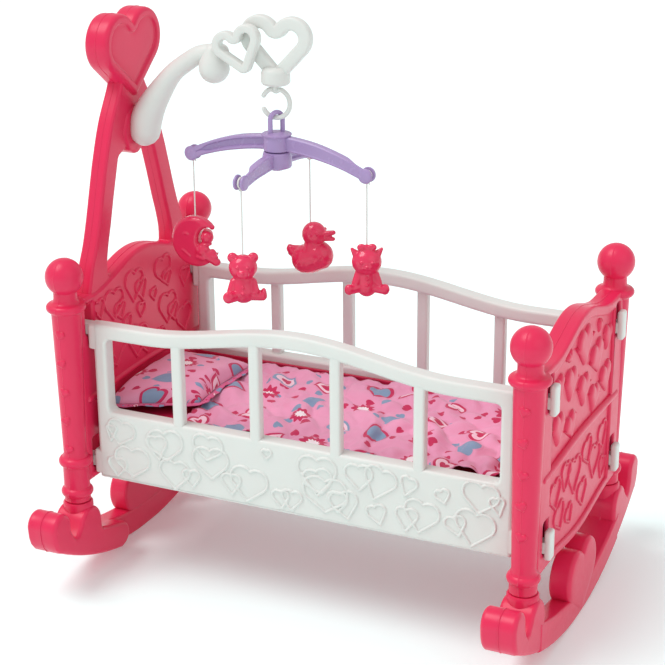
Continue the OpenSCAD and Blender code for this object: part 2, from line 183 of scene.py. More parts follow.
def plastic(name, colour, deep, rough=0.36, subsurface=0.0, shine=0.36):
    """Moulded plastic: faint clouding, a fine grain and a slight unevenness of its sheen."""
    material, tree, shader = new_material(name)
    place = put(tree, "TexCoord").outputs["Object"]
    cloud = put(tree, "TexNoise", {"Vector": place, "Scale": 34.0, "Detail": 3.0}).outputs["Fac"]
    grain = put(tree, "TexNoise", {"Vector": place, "Scale": 2100.0, "Detail": 2.0}).outputs["Fac"]
    sheen = put(tree, "TexNoise", {"Vector": place, "Scale": 160.0, "Detail": 4.0}).outputs["Fac"]
    fill(tree, shader, {
        "Base Color": blend(tree, cloud, linear(*deep), linear(*colour)),
        "Roughness": calc(tree, "MULTIPLY_ADD", sheen, 0.12, rough - 0.06),
        "Normal": bumps(tree, calc(tree, "MULTIPLY_ADD", sheen, 0.5, grain), 0.12),
        "IOR": 1.49, "Specular IOR Level": shine,
        "Subsurface Weight": subsurface, "Subsurface Radius": (0.004, 0.0015, 0.0015), "Subsurface Scale": 1.0,
    })
    return material


def cells(tree, place, size, seed):
    """One motif per cell: the place inside it, turned at random, in metres, and four random numbers."""
    shifted = put(tree, "VectorMath", {0: place, 1: (seed, seed * 0.7, 0)}, operation="ADD").outputs[0]
    scaled = put(tree, "VectorMath", {0: shifted, "Scale": 1 / size}, operation="SCALE").outputs[0]
    grid = put(
        tree, "TexVoronoi", {"Vector": scaled, "Scale": 1.0, "Randomness": 0.36},
        voronoi_dimensions="2D",
    )
    away = put(
        tree, "VectorMath", {0: scaled, 1: grid.outputs["Position"]}, operation="SUBTRACT"
    ).outputs[0]
    dice = put(tree, "SeparateColor", {0: grid.outputs["Color"]})
    turn = calc(tree, "MULTIPLY", dice.outputs[0], 6.283)
    turned = put(
        tree, "VectorRotate", {"Vector": away, "Angle": turn}, rotation_type="Z_AXIS"
    ).outputs[0]
    local = put(tree, "VectorMath", {0: turned, "Scale": size}, operation="SCALE").outputs[0]
    spot = put(tree, "SeparateXYZ", {0: local})
    extra = calc(tree, "FRACT", calc(tree, "MULTIPLY", dice.outputs[1], 7.3))
    return spot.outputs[0], spot.outputs[1], (dice.outputs[1], dice.outputs[2], extra)


def heart_field(tree, x, y, size):
    """How far a point is from a heart's middle, as a share of its outline: under 1 is inside."""
    u = calc(tree, "DIVIDE", x, size)
    v = calc(tree, "DIVIDE", y, size)
    lift = calc(tree, "MULTIPLY", calc(tree, "SQRT", calc(tree, "ABSOLUTE", u)), 0.62)
    low = calc(tree, "SUBTRACT", v, lift)
    square = calc(tree, "ADD", calc(tree, "MULTIPLY", u, u), calc(tree, "MULTIPLY", low, low))
    return calc(tree, "SQRT", square)


def flower_field(tree, x, y, size):
    """The same for a blossom with a toothed edge."""
    angle = calc(tree, "ARCTAN2", y, x)
    wave = calc(tree, "MULTIPLY_ADD", calc(tree, "SINE", calc(tree, "MULTIPLY", angle, 11.0)), 0.14, 1.0)
    radius = calc(tree, "SQRT", calc(tree, "ADD", calc(tree, "MULTIPLY", x, x), calc(tree, "MULTIPLY", y, y)))
    return calc(tree, "DIVIDE", calc(tree, "DIVIDE", radius, size), wave)


def weave(tree, place):
    """The height of a plain weave of 0.45 mm threads."""
    spot = put(tree, "SeparateXYZ", {0: place})
    pitch = 2 * math.pi / 0.00045
    warp, weft = (calc(tree, "SINE", calc(tree, "MULTIPLY", spot.outputs[k], pitch)) for k in (0, 1))
    fuzz = put(tree, "TexNoise", {"Vector": place, "Scale": 900.0, "Detail": 3.0}).outputs["Fac"]
    return calc(tree, "ADD", calc(tree, "MULTIPLY", warp, weft), fuzz)


PRINT_ROSE = (206, 36, 92)
PRINT_BLUE = (134, 160, 190)
PRINT_PALE = (252, 214, 228)


def printed_cloth(name, base, motif, seed):
    """Woven cloth printed with hearts and blossoms; motif is the size of a large cell in metres."""
    material, tree, shader = new_material(name)
    place = put(tree, "UVMap", uv_map="flat").outputs[0]
    colour = blend(
        tree,
        put(tree, "TexNoise", {"Vector": place, "Scale": 30.0, "Detail": 2.0}).outputs["Fac"],
        linear(*base), linear(*[min(255, c + 12) for c in base]),
    )

    def paint(colour, mask, ink):
        return blend(tree, mask, colour, ink if isinstance(ink, bpy.types.NodeSocket) else linear(*ink))

    def inside(field, edge=1.0):
        return calc(tree, "LESS_THAN", field, edge)

    def overlap(a, b):
        return calc(tree, "MULTIPLY", a, b)

    # Small solid hearts and dots fill the ground between the large motifs
    x, y, (kind, tone, extra) = cells(tree, place, motif * 0.42, seed + 3.1)
    small = calc(tree, "MULTIPLY_ADD", extra, motif * 0.035, motif * 0.075)
    spot = inside(heart_field(tree, x, y, small))
    ink = blend(tree, calc(tree, "GREATER_THAN", tone, 0.62), linear(*PRINT_ROSE), linear(*PRINT_BLUE))
    colour = paint(colour, overlap(spot, calc(tree, "LESS_THAN", kind, 0.6)), ink)

    # Large hearts, some in outline with a second heart inside, and blossoms
    x, y, (kind, tone, extra) = cells(tree, place, motif, seed)
    size = calc(tree, "MULTIPLY_ADD", extra, motif * 0.08, motif * 0.235)
    field = heart_field(tree, x, y, size)
    bloom = calc(tree, "GREATER_THAN", kind, 0.6)
    heart = calc(tree, "SUBTRACT", 1.0, bloom)
    ground = overlap(heart, inside(field, 1.16))
    colour = paint(colour, ground, base)
    rim_ink = blend(tree, calc(tree, "GREATER_THAN", tone, 0.72), linear(*PRINT_ROSE), linear(*PRINT_BLUE))
    colour = paint(colour, overlap(heart, inside(field)), rim_ink)
    filling = blend(tree, calc(tree, "GREATER_THAN", extra, 0.45), linear(*PRINT_PALE), linear(*PRINT_BLUE))
    outlined = overlap(heart, calc(tree, "LESS_THAN", tone, 0.8))
    colour = paint(colour, overlap(outlined, inside(field, 0.76)), filling)
    core = overlap(outlined, inside(field, 0.4))
    colour = paint(colour, overlap(core, calc(tree, "LESS_THAN", extra, 0.45)), PRINT_ROSE)
    flower = flower_field(tree, x, y, calc(tree, "MULTIPLY", size, 0.86))
    colour = paint(colour, overlap(bloom, inside(flower)), PRINT_ROSE)
    colour = paint(colour, overlap(bloom, inside(flower, 0.52)), (255, 244, 248))
    fill(tree, shader, {
        "Base Color": colour, "Normal": bumps(tree, weave(tree, place), 0.25),
        "Roughness": 0.72, "Sheen Weight": 0.25, "Sheen Roughness": 0.4,
    })
    return material


def thread_material():
    """Twisted white yarn, with painted shade in the grooves of its twist."""
    material, tree, shader = new_material("twisted_thread")
    place = put(tree, "TexCoord").outputs["Object"]
    twist = put(
        tree, "TexWave",
        {"Vector": place, "Scale": 420.0, "Distortion": 1.5, "Detail": 1.0},
        bands_direction="DIAGONAL",
    ).outputs["Fac"]
    # Painted shade: the colour is darker in the twist's grooves and lighter on its crests
    fill(tree, shader, {
        "Base Color": blend(tree, twist, linear(206, 200, 196), linear(246, 242, 238)),
        "Normal": bumps(tree, twist, 0.5), "Roughness": 0.8,
    })
    return material


PINK = plastic("pink_plastic", (228, 44, 88), (223, 39, 83), 0.32, 0.08)
CHARM_PINK = plastic("charm_plastic", (230, 50, 94), (225, 44, 88), 0.17, 0.08, 0.6)
# The tray is the same pink plastic with a darker base colour: painted shade for the tray under the bedding
SHADED_TRAY_PINK = plastic("tray_plastic", (200, 34, 76), (194, 30, 72), 0.42)
WHITE = plastic("white_plastic", (224, 224, 220), (219, 219, 215), 0.34, 0.05)
PURPLE = plastic("purple_plastic", (172, 146, 194), (166, 140, 188), 0.26, 0.05, 0.5)
THREAD = thread_material()
SPREAD_CLOTH = printed_cloth("spread_cloth", (234, 156, 190), 0.047, 0.137)
PILLOW_CLOTH = printed_cloth("pillow_cloth", (234, 158, 190), 0.042, 0.713)
BINDING_CLOTH = printed_cloth("binding_cloth", (216, 92, 142), 0.012, 0.371)
SLOTS = {
    "pink_plastic": PINK, "charm_plastic": CHARM_PINK, "tray_plastic": SHADED_TRAY_PINK, "white_plastic": WHITE,
    "purple_plastic": PURPLE, "string": THREAD, "spread_fabric": SPREAD_CLOTH, "pillow_fabric": PILLOW_CLOTH,
}


# ---- Shaping in millimetres ----


class Shape:
    """Closed surfaces gathered in millimetres; build() turns them into one object."""

    def __init__(self):
        self.points = []
        self.faces = []

    def add(self, points, faces, place=None):
        first = len(self.points)
        place = place or Matrix.Identity(4)
        self.points.extend(place @ Vector(p) for p in points)
        self.faces.extend(tuple(first + k for k in face) for face in faces)

    def loft(self, rings, place=None, closed=False):
        """Joins rings of equally many points, with a cap at each end unless the rings close on themselves."""
        n, count = len(rings[0]), len(rings)
        faces = []
        for k in range(count if closed else count - 1):
            a, b = k * n, (k + 1) % count * n
            faces += [(a + j, a + (j + 1) % n, b + (j + 1) % n, b + j) for j in range(n)]
        if not closed:
            faces += [tuple(range(n))[::-1], tuple(range((count - 1) * n, count * n))]
        self.add([p for ring in rings for p in ring], faces, place)

    def lathe(self, profile, place=None, n=64, seam=0.0):
        """Turns a profile of (height, radius) about Z. A seam raises a fine line on the +-Y sides."""
        turns = [360 * k / n for k in range(n)]
        if seam:
            turns = sorted(turns + [88.2, 91.8, 268.2, 271.8])
        spokes = [(t, seam if t in (90, 270) else 0) for t in turns]
        self.loft([
            [((r + lift) * cos(t), (r + lift) * sin(t), z) for t, lift in spokes] for z, r in profile
        ], place)

    def tube(self, path, radii, n=28, place=None, closed=False):
        """A round tube along a path, with rounded ends."""
        path = [Vector(p) for p in path]
        radii = radii if hasattr(radii, "__len__") else [radii] * len(path)
        count = len(path)
        tangents = []
        for k in range(count):
            ahead = path[(k + 1) % count] if closed or k + 1 < count else path[k]
            behind = path[k - 1] if closed or k else path[k]
            tangents.append((ahead - behind).normalized())
        side = tangents[0].orthogonal().normalized()
        if abs(tangents[0].y) < 0.9:
            side = Vector((0, 1, 0))
        rings = []
        for k, (spot, way) in enumerate(zip(path, tangents)):
            side = (side - way * side.dot(way)).normalized()
            over = way.cross(side)
            rings.append((spot, way, side, over, radii[k]))
        loops = []

        def ring_at(spot, side, over, r):
            return [spot + (side * cos(360 * j / n) + over * sin(360 * j / n)) * r for j in range(n)]

        if not closed:
            spot, way, side, over, r = rings[0]
            loops += [ring_at(spot - way * r * cos(t), side, over, r * sin(t)) for t in (4, 25, 48, 70)]
        loops += [ring_at(spot, side, over, r) for spot, way, side, over, r in rings]
        if not closed:
            spot, way, side, over, r = rings[-1]
            loops += [ring_at(spot + way * r * cos(t), side, over, r * sin(t)) for t in (70, 48, 25, 4)]
        self.loft(loops, place, closed)

    def block(self, low, high, edge, place=None):
        """A box with rounded edges, between two opposite corners in any order."""
        low, high = ([pick(pair) for pair in zip(low, high)] for pick in (min, max))
        middle = [(a + b) / 2 for a, b in zip(low, high)]
        half = [(b - a) / 2 for a, b in zip(low, high)]
        rings = []
        for end in (-1, 1):
            turns = (0, 22, 45, 67, 90)
            for t in turns if end < 0 else turns[::-1]:
                cut = edge * (1 - sin(t))
                z = end * (half[2] - edge * (1 - cos(t)))
                ring = rounded_box(half[0] - cut, half[1] - cut, max(edge - cut, 0.05))
                rings.append([(middle[0] + x, middle[1] + y, middle[2] + z) for x, y in ring])
        self.loft(rings, place)

    def plate(self, loops, thickness, edge, place):
        """A flat plate from closed outlines, the first one outside and the rest holes, with rounded edges."""
        rings_of = [wound(loop, clockwise=k > 0) for k, loop in enumerate(loops)]
        levels = []
        for face in (1, -1):
            turns = (0, 25, 50, 72, 90)
            for t in turns if face > 0 else turns[::-1]:
                levels.append((edge * (1 - sin(t)), face * (thickness / 2 - edge * (1 - cos(t)))))
        points, faces, starts = [], [], []
        for ring in rings_of:
            n, first = len(ring), len(points)
            starts.append(first)
            for cut, w in levels:
                points += [(u, v, w) for u, v in shrunk(ring, cut)]
            for k in range(len(levels) - 1):
                a, b = first + k * n, first + (k + 1) * n
                faces += [(a + j, a + (j + 1) % n, b + (j + 1) % n, b + j) for j in range(n)]
        for level in (0, len(levels) - 1):
            owner, flat_loops = [], []
            for ring, first in zip(rings_of, starts):
                at = first + level * len(ring)
                flat_loops.append([Vector((*points[at + j][:2], 0)) for j in range(len(ring))])
                owner += list(range(at, at + len(ring)))
            for triangle in tessellate_polygon(flat_loops):
                faces.append(tuple(owner[k] for k in triangle))
        self.add(points, faces, place)

    def relief(self, height, low, high, step, place, sink=0.4):
        """A closed slab whose top follows height(u, v) above the plane and is sunk where that is nothing."""
        us = np.linspace(low[0], high[0], int((high[0] - low[0]) / step) + 1)
        vs = np.linspace(low[1], high[1], int((high[1] - low[1]) / step) + 1)
        grid_u, grid_v = np.meshgrid(us, vs, indexing="ij")
        top = height(grid_u, grid_v)
        top = np.where(top <= 0.001, -sink, top)
        rows, columns = top.shape
        points = np.stack((grid_u, grid_v, top), axis=-1).reshape(-1, 3).tolist()
        raised = top > -sink + 0.001
        keep = np.zeros((rows - 1, columns - 1), bool)
        for du in (0, 1):
            for dv in (0, 1):
                keep |= raised[du:rows - 1 + du, dv:columns - 1 + dv]
        faces = []
        for i, j in zip(*np.nonzero(keep)):
            a = int(i) * columns + int(j)
            faces.append((a, a + columns, a + columns + 1, a + 1))
        sides = {(face[k], face[(k + 1) % 4]): None for face in faces for k in range(4)}
        border = [side for side in sides if side[::-1] not in sides]
        used = sorted({k for face in faces for k in face})
        new = {k: m for m, k in enumerate(used)}
        count = len(used)
        tops = [points[k] for k in used]
        lows = [(u, v, -sink - 0.8) for u, v, w in tops]
        out = [tuple(new[k] for k in face) for face in faces]
        out += [tuple(new[k] + count for k in face[::-1]) for face in faces]
        out += [(new[b], new[a], new[a] + count, new[b] + count) for a, b in border]
        self.add(tops + lows, out, place)

    def build(self, name, body, slot, node):
        """Makes the object, in metres, with smooth shading between sharp edges."""
        return place_mesh(solid_mesh(name, self.points, self.faces, weld=True), name, body, slot, node)


def solid_mesh(name, points, faces, weld=False):
    """A mesh in metres whose faces look outwards; weld joins doubled points."""
    mesh = bpy.data.meshes.new(name)
    mesh.from_pydata([p * MM for p in points], [], faces)
    work = bmesh.new()
    work.from_mesh(mesh)
    if weld:
        bmesh.ops.remove_doubles(work, verts=work.verts, dist=0.00001)
        bmesh.ops.dissolve_degenerate(work, edges=work.edges, dist=0.000002)
    bmesh.ops.recalc_face_normals(work, faces=work.faces)
    work.to_mesh(mesh)
    work.free()
    return mesh


def place_mesh(mesh, name, body, slot, node, sharp=38, material=None):
    """Shades a finished mesh, hangs it on its body and lets it stand for a CAD node."""
    obj = bpy.data.objects.new(name, mesh)
    scene.collection.objects.link(obj)
    mesh.shade_smooth()
    mesh.set_sharp_from_angle(angle=math.radians(sharp))
    weighted = obj.modifiers.new("even_shading", "WEIGHTED_NORMAL")
    weighted.keep_sharp = True
    mesh.materials.append(material or SLOTS[slot])
    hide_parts(node)
    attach(obj, body)
    return obj


def wound(loop, clockwise):
    """The outline without doubled points, turned to run the asked way round."""
    spots = [Vector(p[:2]) for p in loop]
    out = [spot for k, spot in enumerate(spots) if (spot - spots[k - 1]).length > 0.02]
    area = sum(a.x * b.y - b.x * a.y for a, b in zip(out, out[1:] + out[:1]))
    return out[::-1] if (area < 0) != clockwise else out


def shrunk(ring, cut):
    """The outline moved to its left, which is into the material, by cut."""
    out = []
    for k, corner in enumerate(ring):
        before = (corner - ring[k - 1]).normalized()
        after = (ring[(k + 1) % len(ring)] - corner).normalized()
        lean = Vector((-before.y - after.y, before.x + after.x))
        size = max(lean.length, 0.2)
        out.append(tuple(corner + lean * (cut / size) * min(2 / size, 1.6)))
    return out


def sin(degrees):
    return math.sin(math.radians(degrees))


def cos(degrees):
    return math.cos(math.radians(degrees))


def crest(u, span):
    """A wave with its crest at the middle, level from its span outwards."""
    return 0.5 + 0.5 * math.cos(math.pi * u / span) if abs(u) < span else 0.0


def turn(degrees, axis="Z"):
    return Matrix.Rotation(math.radians(degrees), 4, axis)


def across(x):
    """An outline in the Y-Z plane, seen from +X."""
    return Matrix(((0, 0, 1, x), (1, 0, 0, 0), (0, 1, 0, 0), (0, 0, 0, 1)))


def along(y, sign=-1):
    """An outline in the X-Z plane whose face looks towards -Y, or +Y for sign 1."""
    return Matrix(((1, 0, 0, 0), (0, 0, sign, y), (0, 1, 0, 0), (0, 0, 0, 1)))


def spaced(low, high, count):
    """Evenly spaced numbers from low to high, count steps apart in all."""
    return [low + (high - low) * k / count for k in range(count + 1)]


def arc(centre, radius, start, end, steps=12):
    return [
        (centre[0] + radius * cos(start + (end - start) * k / steps),
         centre[1] + radius * sin(start + (end - start) * k / steps))
        for k in range(steps + 1)
    ]


def rounded_box(half_w, half_h, radius, steps=4):
    """The outline of a rectangle with round corners, about the origin."""
    out = []
    for sx, sy, start in ((1, 1, 0), (-1, 1, 90), (-1, -1, 180), (1, -1, 270)):
        corner = (sx * (half_w - radius), sy * (half_h - radius))
        out += arc(corner, radius, start, start + 90, steps)
    return out


def rounded(points, radius, steps=5):
    """A closed outline with each corner rounded off; radius may be one number or one per corner."""
    out, n = [], len(points)
    for k in range(n):
        r = radius[k] if hasattr(radius, "__len__") else radius
        corner = Vector(points[k])
        back = Vector(points[k - 1]) - corner
        ahead = Vector(points[(k + 1) % n]) - corner
        cut = min(r, back.length * 0.45, ahead.length * 0.45)
        if cut < 0.05:
            out.append(tuple(corner))
            continue
        p, q = corner + back.normalized() * cut, corner + ahead.normalized() * cut
        for j in range(steps + 1):
            t = j / steps
            out.append(tuple(p * (1 - t) ** 2 + corner * 2 * t * (1 - t) + q * t * t))
    return out


def smooth_path(stops, steps=6):
    """A Catmull-Rom curve through its stops, of any dimension."""
    stops = [Vector(s) for s in stops]
    padded = [stops[0] * 2 - stops[1]] + stops + [stops[-1] * 2 - stops[-2]]
    out = []
    for k in range(1, len(padded) - 2):
        a, b, c, d = padded[k - 1:k + 3]
        for j in range(steps):
            t = j / steps
            bend, twist = a * 2 - b * 5 + c * 4 - d, b * 3 - a - c * 3 + d
            out.append(0.5 * (b * 2 + (c - a) * t + bend * t * t + twist * t ** 3))
    return out + [stops[-1]]


def heart_ring(a, r, h, inset=0.0, blunt=0.0):
    """A heart's outline, its sharp tip at the origin or blunted, moved inwards, with equally many points."""
    notch = h + math.sqrt(r * r - a * a)
    side = math.degrees(math.atan2(a, h) + math.asin(r / math.hypot(a, h)))
    lobe = r - inset
    start = math.degrees(math.atan2(notch - h, -a))
    half = []
    if inset > 0.001:
        half += arc((0, notch), inset, -90, start - 180, 6)[:-1]
    else:
        half += [(0.0001 * k, notch) for k in range(6)]
    half += arc((a, h), lobe, start, -side, 26)
    bend = max(blunt - inset, 0.02)
    middle = (inset + bend) / sin(side)
    foot, start = Vector(half[-1]), Vector((bend * cos(side), middle - bend * sin(side)))
    half += [tuple(foot.lerp(start, k / 6)) for k in range(1, 6)]
    half += arc((0, middle), bend, -side, -90, 5)
    return half + [(-x, y) for x, y in half[-2:0:-1]]


def turned(points, degrees):
    c, s = cos(degrees), sin(degrees)
    return [(x * c - y * s, x * s + y * c) for x, y in points]


def heart_distance(u, v, heart):
    """Signed distance to a heart (middle u, tip v, width, height, tilt), negative inside, on numpy grids."""
    cu, tip, width, tall, tilt = heart
    a, r = 0.21 * width, 0.29 * width
    h = tall - r
    c, s = cos(-tilt), sin(-tilt)
    mid = tip + tall / 2
    x = (u - cu) * c - (v - mid) * s
    z = (u - cu) * s + (v - mid) * c + tall / 2
    x = np.abs(x)
    notch = h + math.sqrt(r * r - a * a)
    side = math.atan2(a, h) + math.asin(r / math.hypot(a, h))
    foot = (a + r * math.cos(side), h - r * math.sin(side))
    bearing = np.arctan2(z - h, x - a)
    start = math.atan2(notch - h, -a)
    on_arc = (bearing <= start) & (bearing >= -side)
    to_arc = np.where(on_arc, np.abs(np.hypot(x - a, z - h) - r), 1e6)
    along_side = np.clip((x * foot[0] + z * foot[1]) / (foot[0] ** 2 + foot[1] ** 2), 0, 1)
    to_side = np.hypot(x - along_side * foot[0], z - along_side * foot[1])
    distance = np.minimum(np.minimum(to_arc, to_side), np.hypot(x, z - notch))
    between_lobes = (z > h) & (z < notch) & (x < a * (notch - z) / (notch - h))
    below = (z <= h) & (x * foot[1] - z * foot[0] < 0) | between_lobes
    inside = (np.hypot(x - a, z - h) < r) | below
    return np.where(inside, -distance, distance)


def ridges(hearts, wide=1.7, tall=1.2):
    """The height of hearts drawn as round ridges."""
    def height(u, v):
        top = np.zeros_like(u)
        for heart in hearts:
            d = np.abs(heart_distance(u, v, heart)) / wide
            top = np.maximum(top, tall * np.sqrt(np.clip(1 - d * d, 0, 1)))
        return top
    return height


def domes(hearts, tall=2.4, shoulder=6.0):
    """The height of hearts as full, puffed shapes."""
    def height(u, v):
        top = np.zeros_like(u)
        for heart in hearts:
            d = np.clip(-heart_distance(u, v, heart) / shoulder, 0, 1)
            top = np.maximum(top, tall * np.sqrt(1 - (1 - d) ** 2))
        return top
    return height


# ---- End frames ----

SLOT_LOWS = (244, 109.5)
SLOT_H, SLOT_W, TAB_Y = 29, 12.2, 100
HOOK_LOWS = (238, 103.5)
BOARD_HALF = 119
FIELD_T, FIELD_HALF = 17, 90
BEAD_Z = 180


def slots():
    """The upright slots for the side panels' hooks, as outlines."""
    out = []
    for side in (-1, 1):
        for low in SLOT_LOWS:
            box = rounded_box(SLOT_W / 2, SLOT_H / 2, 2)
            out.append([(side * TAB_Y + u, low + SLOT_H / 2 + v) for u, v in box])
    return out


def board(shape, sign, crown, span, low_z, lower, upper_height, sunk=True):
    """A board between the posts with raised hearts on both faces and a bead between its two fields.

    Sunk fields lie inside a rim; otherwise the faces are flush up to the rounded edge.
    """
    field_t = FIELD_T if sunk else BOARD_T - 1

    def edge(y):
        return SHOULDER_Z + (crown - SHOULDER_Z) * crest(y, span)

    def low(y):
        return low_z - 9 * crest(y, 100)

    ys = spaced(-BOARD_HALF, BOARD_HALF, 48)
    outline = [(y, edge(y)) for y in ys] + [(y, low(y)) for y in ys[::-1]]
    inner = spaced(-FIELD_HALF, FIELD_HALF, 36)
    ends = [(-FIELD_HALF, BEAD_Z), (FIELD_HALF, BEAD_Z)]
    top_field = rounded([(y, edge(y) - 10) for y in inner] + ends[::-1], 4)
    low_field = rounded(ends + [(y, low(y) + 9) for y in inner[::-1]], 4)
    x = sign * FRAME_X
    if sunk:
        shape.plate([outline, top_field, low_field] + slots(), BOARD_T, 2.6, across(x))
        shape.plate([shrunk(wound(outline, clockwise=False), 0.6)] + slots(), FIELD_T, 1, across(x))
    else:
        shape.plate([outline] + slots(), field_t, 4, across(x))
    for face in (-1, 1):
        place = across(x + face * field_t / 2) @ Matrix.Diagonal((1, 1, face, 1))
        shape.relief(upper_height, (-FIELD_HALF, BEAD_Z + 3), (FIELD_HALF, crown - 9), 0.9, place)
        low_height = ridges(lower, 1.5, 1.5)
        shape.relief(low_height, (-FIELD_HALF, low_z - 2), (FIELD_HALF, BEAD_Z - 3), 0.9, place)
        bar_x = x + face * (BOARD_T / 2 - 2.6)
        shape.tube([(bar_x, y, BEAD_Z + 3.5 * crest(y, 112)) for y in range(-108, 109, 12)], 4.2, 16)
        shape.tube([(x + face * (field_t / 2 - 0.4), y, low(y) + 6) for y in ys[2:-2]], 2.6, 12)
    # The mould's parting line along the top edge
    shape.tube([(x, y, edge(y) - 0.15) for y in ys], 0.55, 8)


def post(shape, sign, side, rings, waist):
    """A turned post with a ball on top, a collar, beads near its foot and small hearts on its outer side."""
    top_ring = rings[0][0] + 8
    profile = [(56.5, 7.9), (79.6, 7.9), (80, waist - 1), (81, waist)]
    for z, r in rings[::-1]:
        for t in range(-75, 76, 15):
            profile.append((z + 5 * sin(t), max(waist, r - 5 + 5 * cos(t))))
    profile.append((top_ring - 3, waist))

    def shaft(z):
        return SHAFT_FOOT_R + (SHAFT_TOP_R - SHAFT_FOOT_R) * (z - top_ring) / (SHAFT_TOP_Z - top_ring)

    profile += [(z, shaft(z)) for z in np.linspace(top_ring, SHAFT_TOP_Z, 9)]
    profile += [(276 + 4 * sin(t), 14.5 + 4 * cos(t)) for t in range(-75, 91, 15)]
    profile += [(280.6, 13.2), (281.6, 12.1), (283, 11.4), (285.5, 11), (290.6, 11)]
    profile += [(BALL_Z + BALL_R * sin(t), BALL_R * cos(t)) for t in range(-50, 90, 5)]
    profile = sorted(set(profile))
    x, y = sign * FRAME_X, side * POST_Y
    shape.lathe(profile, Matrix.Translation((x, y, 0)), 60, seam=0.35)
    for k in range(5):
        z = 136 + 29 * k
        tilt = 24 if k % 2 else -20
        layers = []
        for inset, lift in ((0, -2.2), (0, 0.2), (0.5, 0.8), (1.4, 1.25), (2.2, 1.4)):
            flat = turned([(u, v - 4.5) for u, v in heart_ring(2.1, 2.9, 6.1, inset)], tilt)
            layers.append([(u, v, lift) for u, v in flat])
        shape.loft(layers, Matrix.Translation((x, 0, z)) @ along(side * (POST_Y + shaft(z)), side))


# Hearts on the boards: middle y, tip z, width, height, tilt
UPPER_HEARTS = [
    (0, 246, 40, 36, 0), (-38, 226, 33, 31, -10), (40, 224, 35, 32, 12), (2, 206, 33, 31, -6),
    (-71, 238, 24, 24, 10), (72, 236, 25, 25, -12), (-70, 196, 31, 30, -6), (71, 194, 32, 30, 8),
    (-34, 188, 27, 26, 14), (35, 188, 28, 27, -16), (-44, 263, 14, 13, 20), (46, 262, 14, 13, -20),
]
LOWER_HEARTS = [
    (-70, 135, 30, 28, 8), (-40, 142, 26, 26, -12), (-55, 108, 28, 27, 18), (-14, 128, 36, 34, -4),
    (-26, 102, 20, 19, 22), (12, 104, 27, 25, 6), (24, 140, 28, 26, 14), (48, 118, 34, 32, -10),
    (72, 138, 26, 25, 8), (76, 106, 22, 21, -20),
]
HEAD_HEARTS = [
    (-84, 252, 18, 19, 8), (-58, 244, 34, 29, -6), (-47, 240, 19, 18, 12), (-20, 250, 33, 31, -8),
    (-7, 247, 20, 22, 10), (36, 252, 31, 27, 4), (43, 247, 17, 16, 12), (-9, 231, 15, 14, -10),
    (16, 240, 12, 12, 8), (42, 208, 34, 31, -6), (53, 206, 19, 20, 12), (78, 236, 19, 19, -8),
    (-60, 196, 40, 34, 6), (-72, 190, 20, 20, -8), (-18, 192, 36, 32, -10), (-2, 190, 20, 19, 8),
    (24, 186, 22, 21, -6), (74, 188, 30, 28, 6), (-34, 226, 14, 14, 16),
]
# The rockers' heart: its lobes' spread, radius and height
EMBLEM = (17, 25, 44)
ARM_Z, BOSS_R = 417, 23


def make_footboard():
    shape = Shape()
    board(shape, 1, 297, 85, 91, LOWER_HEARTS, domes(UPPER_HEARTS, 3.2, 7))
    for side in (-1, 1):
        post(shape, 1, side, [(94, 15)], 12.4)
    shape.build("footboard_shell", "cradle", "pink_plastic", "footboard")


def finial(shape):
    """The heart on top: rounded outside, a flat rim, a groove and a slightly domed middle, on both faces."""
    front = [
        (0, 0.6), (0.1, 7), (0.5, 9.4), (1.4, 11.2), (2.7, 12.2), (4.2, 12.5), (7.4, 12.4), (8.2, 12.1),
        (8.7, 11.5), (9.1, 10.8), (9.7, 10.4), (10.6, 10.3), (11.6, 10.5), (14.5, 10.8), (21, 10.9),
    ]
    profile = [(inset, -depth) for inset, depth in front[::-1]] + [(0, -0.35), (0, 0), (0, 0.35)] + front
    rings = []
    for inset, depth in profile:
        grow = 0.35 if depth == 0 else 0.0
        ring = heart_ring(22, 28, 53, inset)
        middle = Vector((0, 40))
        rings.append([
            (*(Vector((y, z)) + (Vector((y, z)) - middle).normalized() * grow), depth) for y, z in ring
        ])
    shape.loft(rings, Matrix.Translation((0, 0, 449)) @ across(-FRAME_X))


def make_headboard():
    shape = Shape()
    board(shape, -1, 300, 95, 97, LOWER_HEARTS, ridges(HEAD_HEARTS, 1.6, 1.6), sunk=False)
    for side in (-1, 1):
        post(shape, -1, side, [(121.4, 15.9), (89.8, 15.2)], 12.3)
    outer = [
        (18, 470), (24, 458), (41, 430), (54.5, 396), (63, 369), (71, 343), (79, 321), (88, 302), (98, 270),
    ]
    gap = [(31, 397), (42, 363), (50, 336), (56, 318), (60, 301), (60, 288)]
    outer, gap = ([tuple(p) for p in smooth_path(line, 4)] for line in (outer, gap))
    frame_line = outer + [(-y, z) for y, z in outer[::-1]]
    top = [(y, 397 + 7 * (1 - (y / 31) ** 2)) for y in (-20, -8, 8, 20)]
    hole = rounded(gap[::-1] + top[::-1] + [(-y, z) for y, z in gap], 3)
    shape.plate([frame_line, hole], LEG_T, 3.2, across(-FRAME_X))
    # A shallow rib along the middle of both legs' side faces, where the mould parts
    for side in (-1, 1):
        shape.tube([(-FRAME_X, side * (y - 0.2), z) for y, z in outer], 0.42, 8)
        shape.tube([(-FRAME_X, side * (y + 0.2), z) for y, z in gap], 0.42, 8)
    # The boss that holds the arm
    scallops = [(t, BOSS_R + 0.7 * cos(8 * t)) for t in range(0, 360, 5)]
    rings = [
        [((r - cut) * cos(t), ARM_Z + (r - cut) * sin(t), depth) for t, r in scallops]
        for depth, cut in ((-7, 5), (-6.9, 1), (-6, 0), (6.5, 0), (9, 1), (10.4, 3.4), (10.5, 6))
    ]
    shape.loft(rings, across(-FRAME_X))
    finial(shape)
    shape.build("headboard_shell", "cradle", "pink_plastic", "headboard")


def rock_z(y, radius=ROCK_R):
    """The height of the rocker's curve, or of one inside it, with the floor cutting it flat."""
    return max(0.0, ROCK_Z - math.sqrt(radius * radius - y * y))


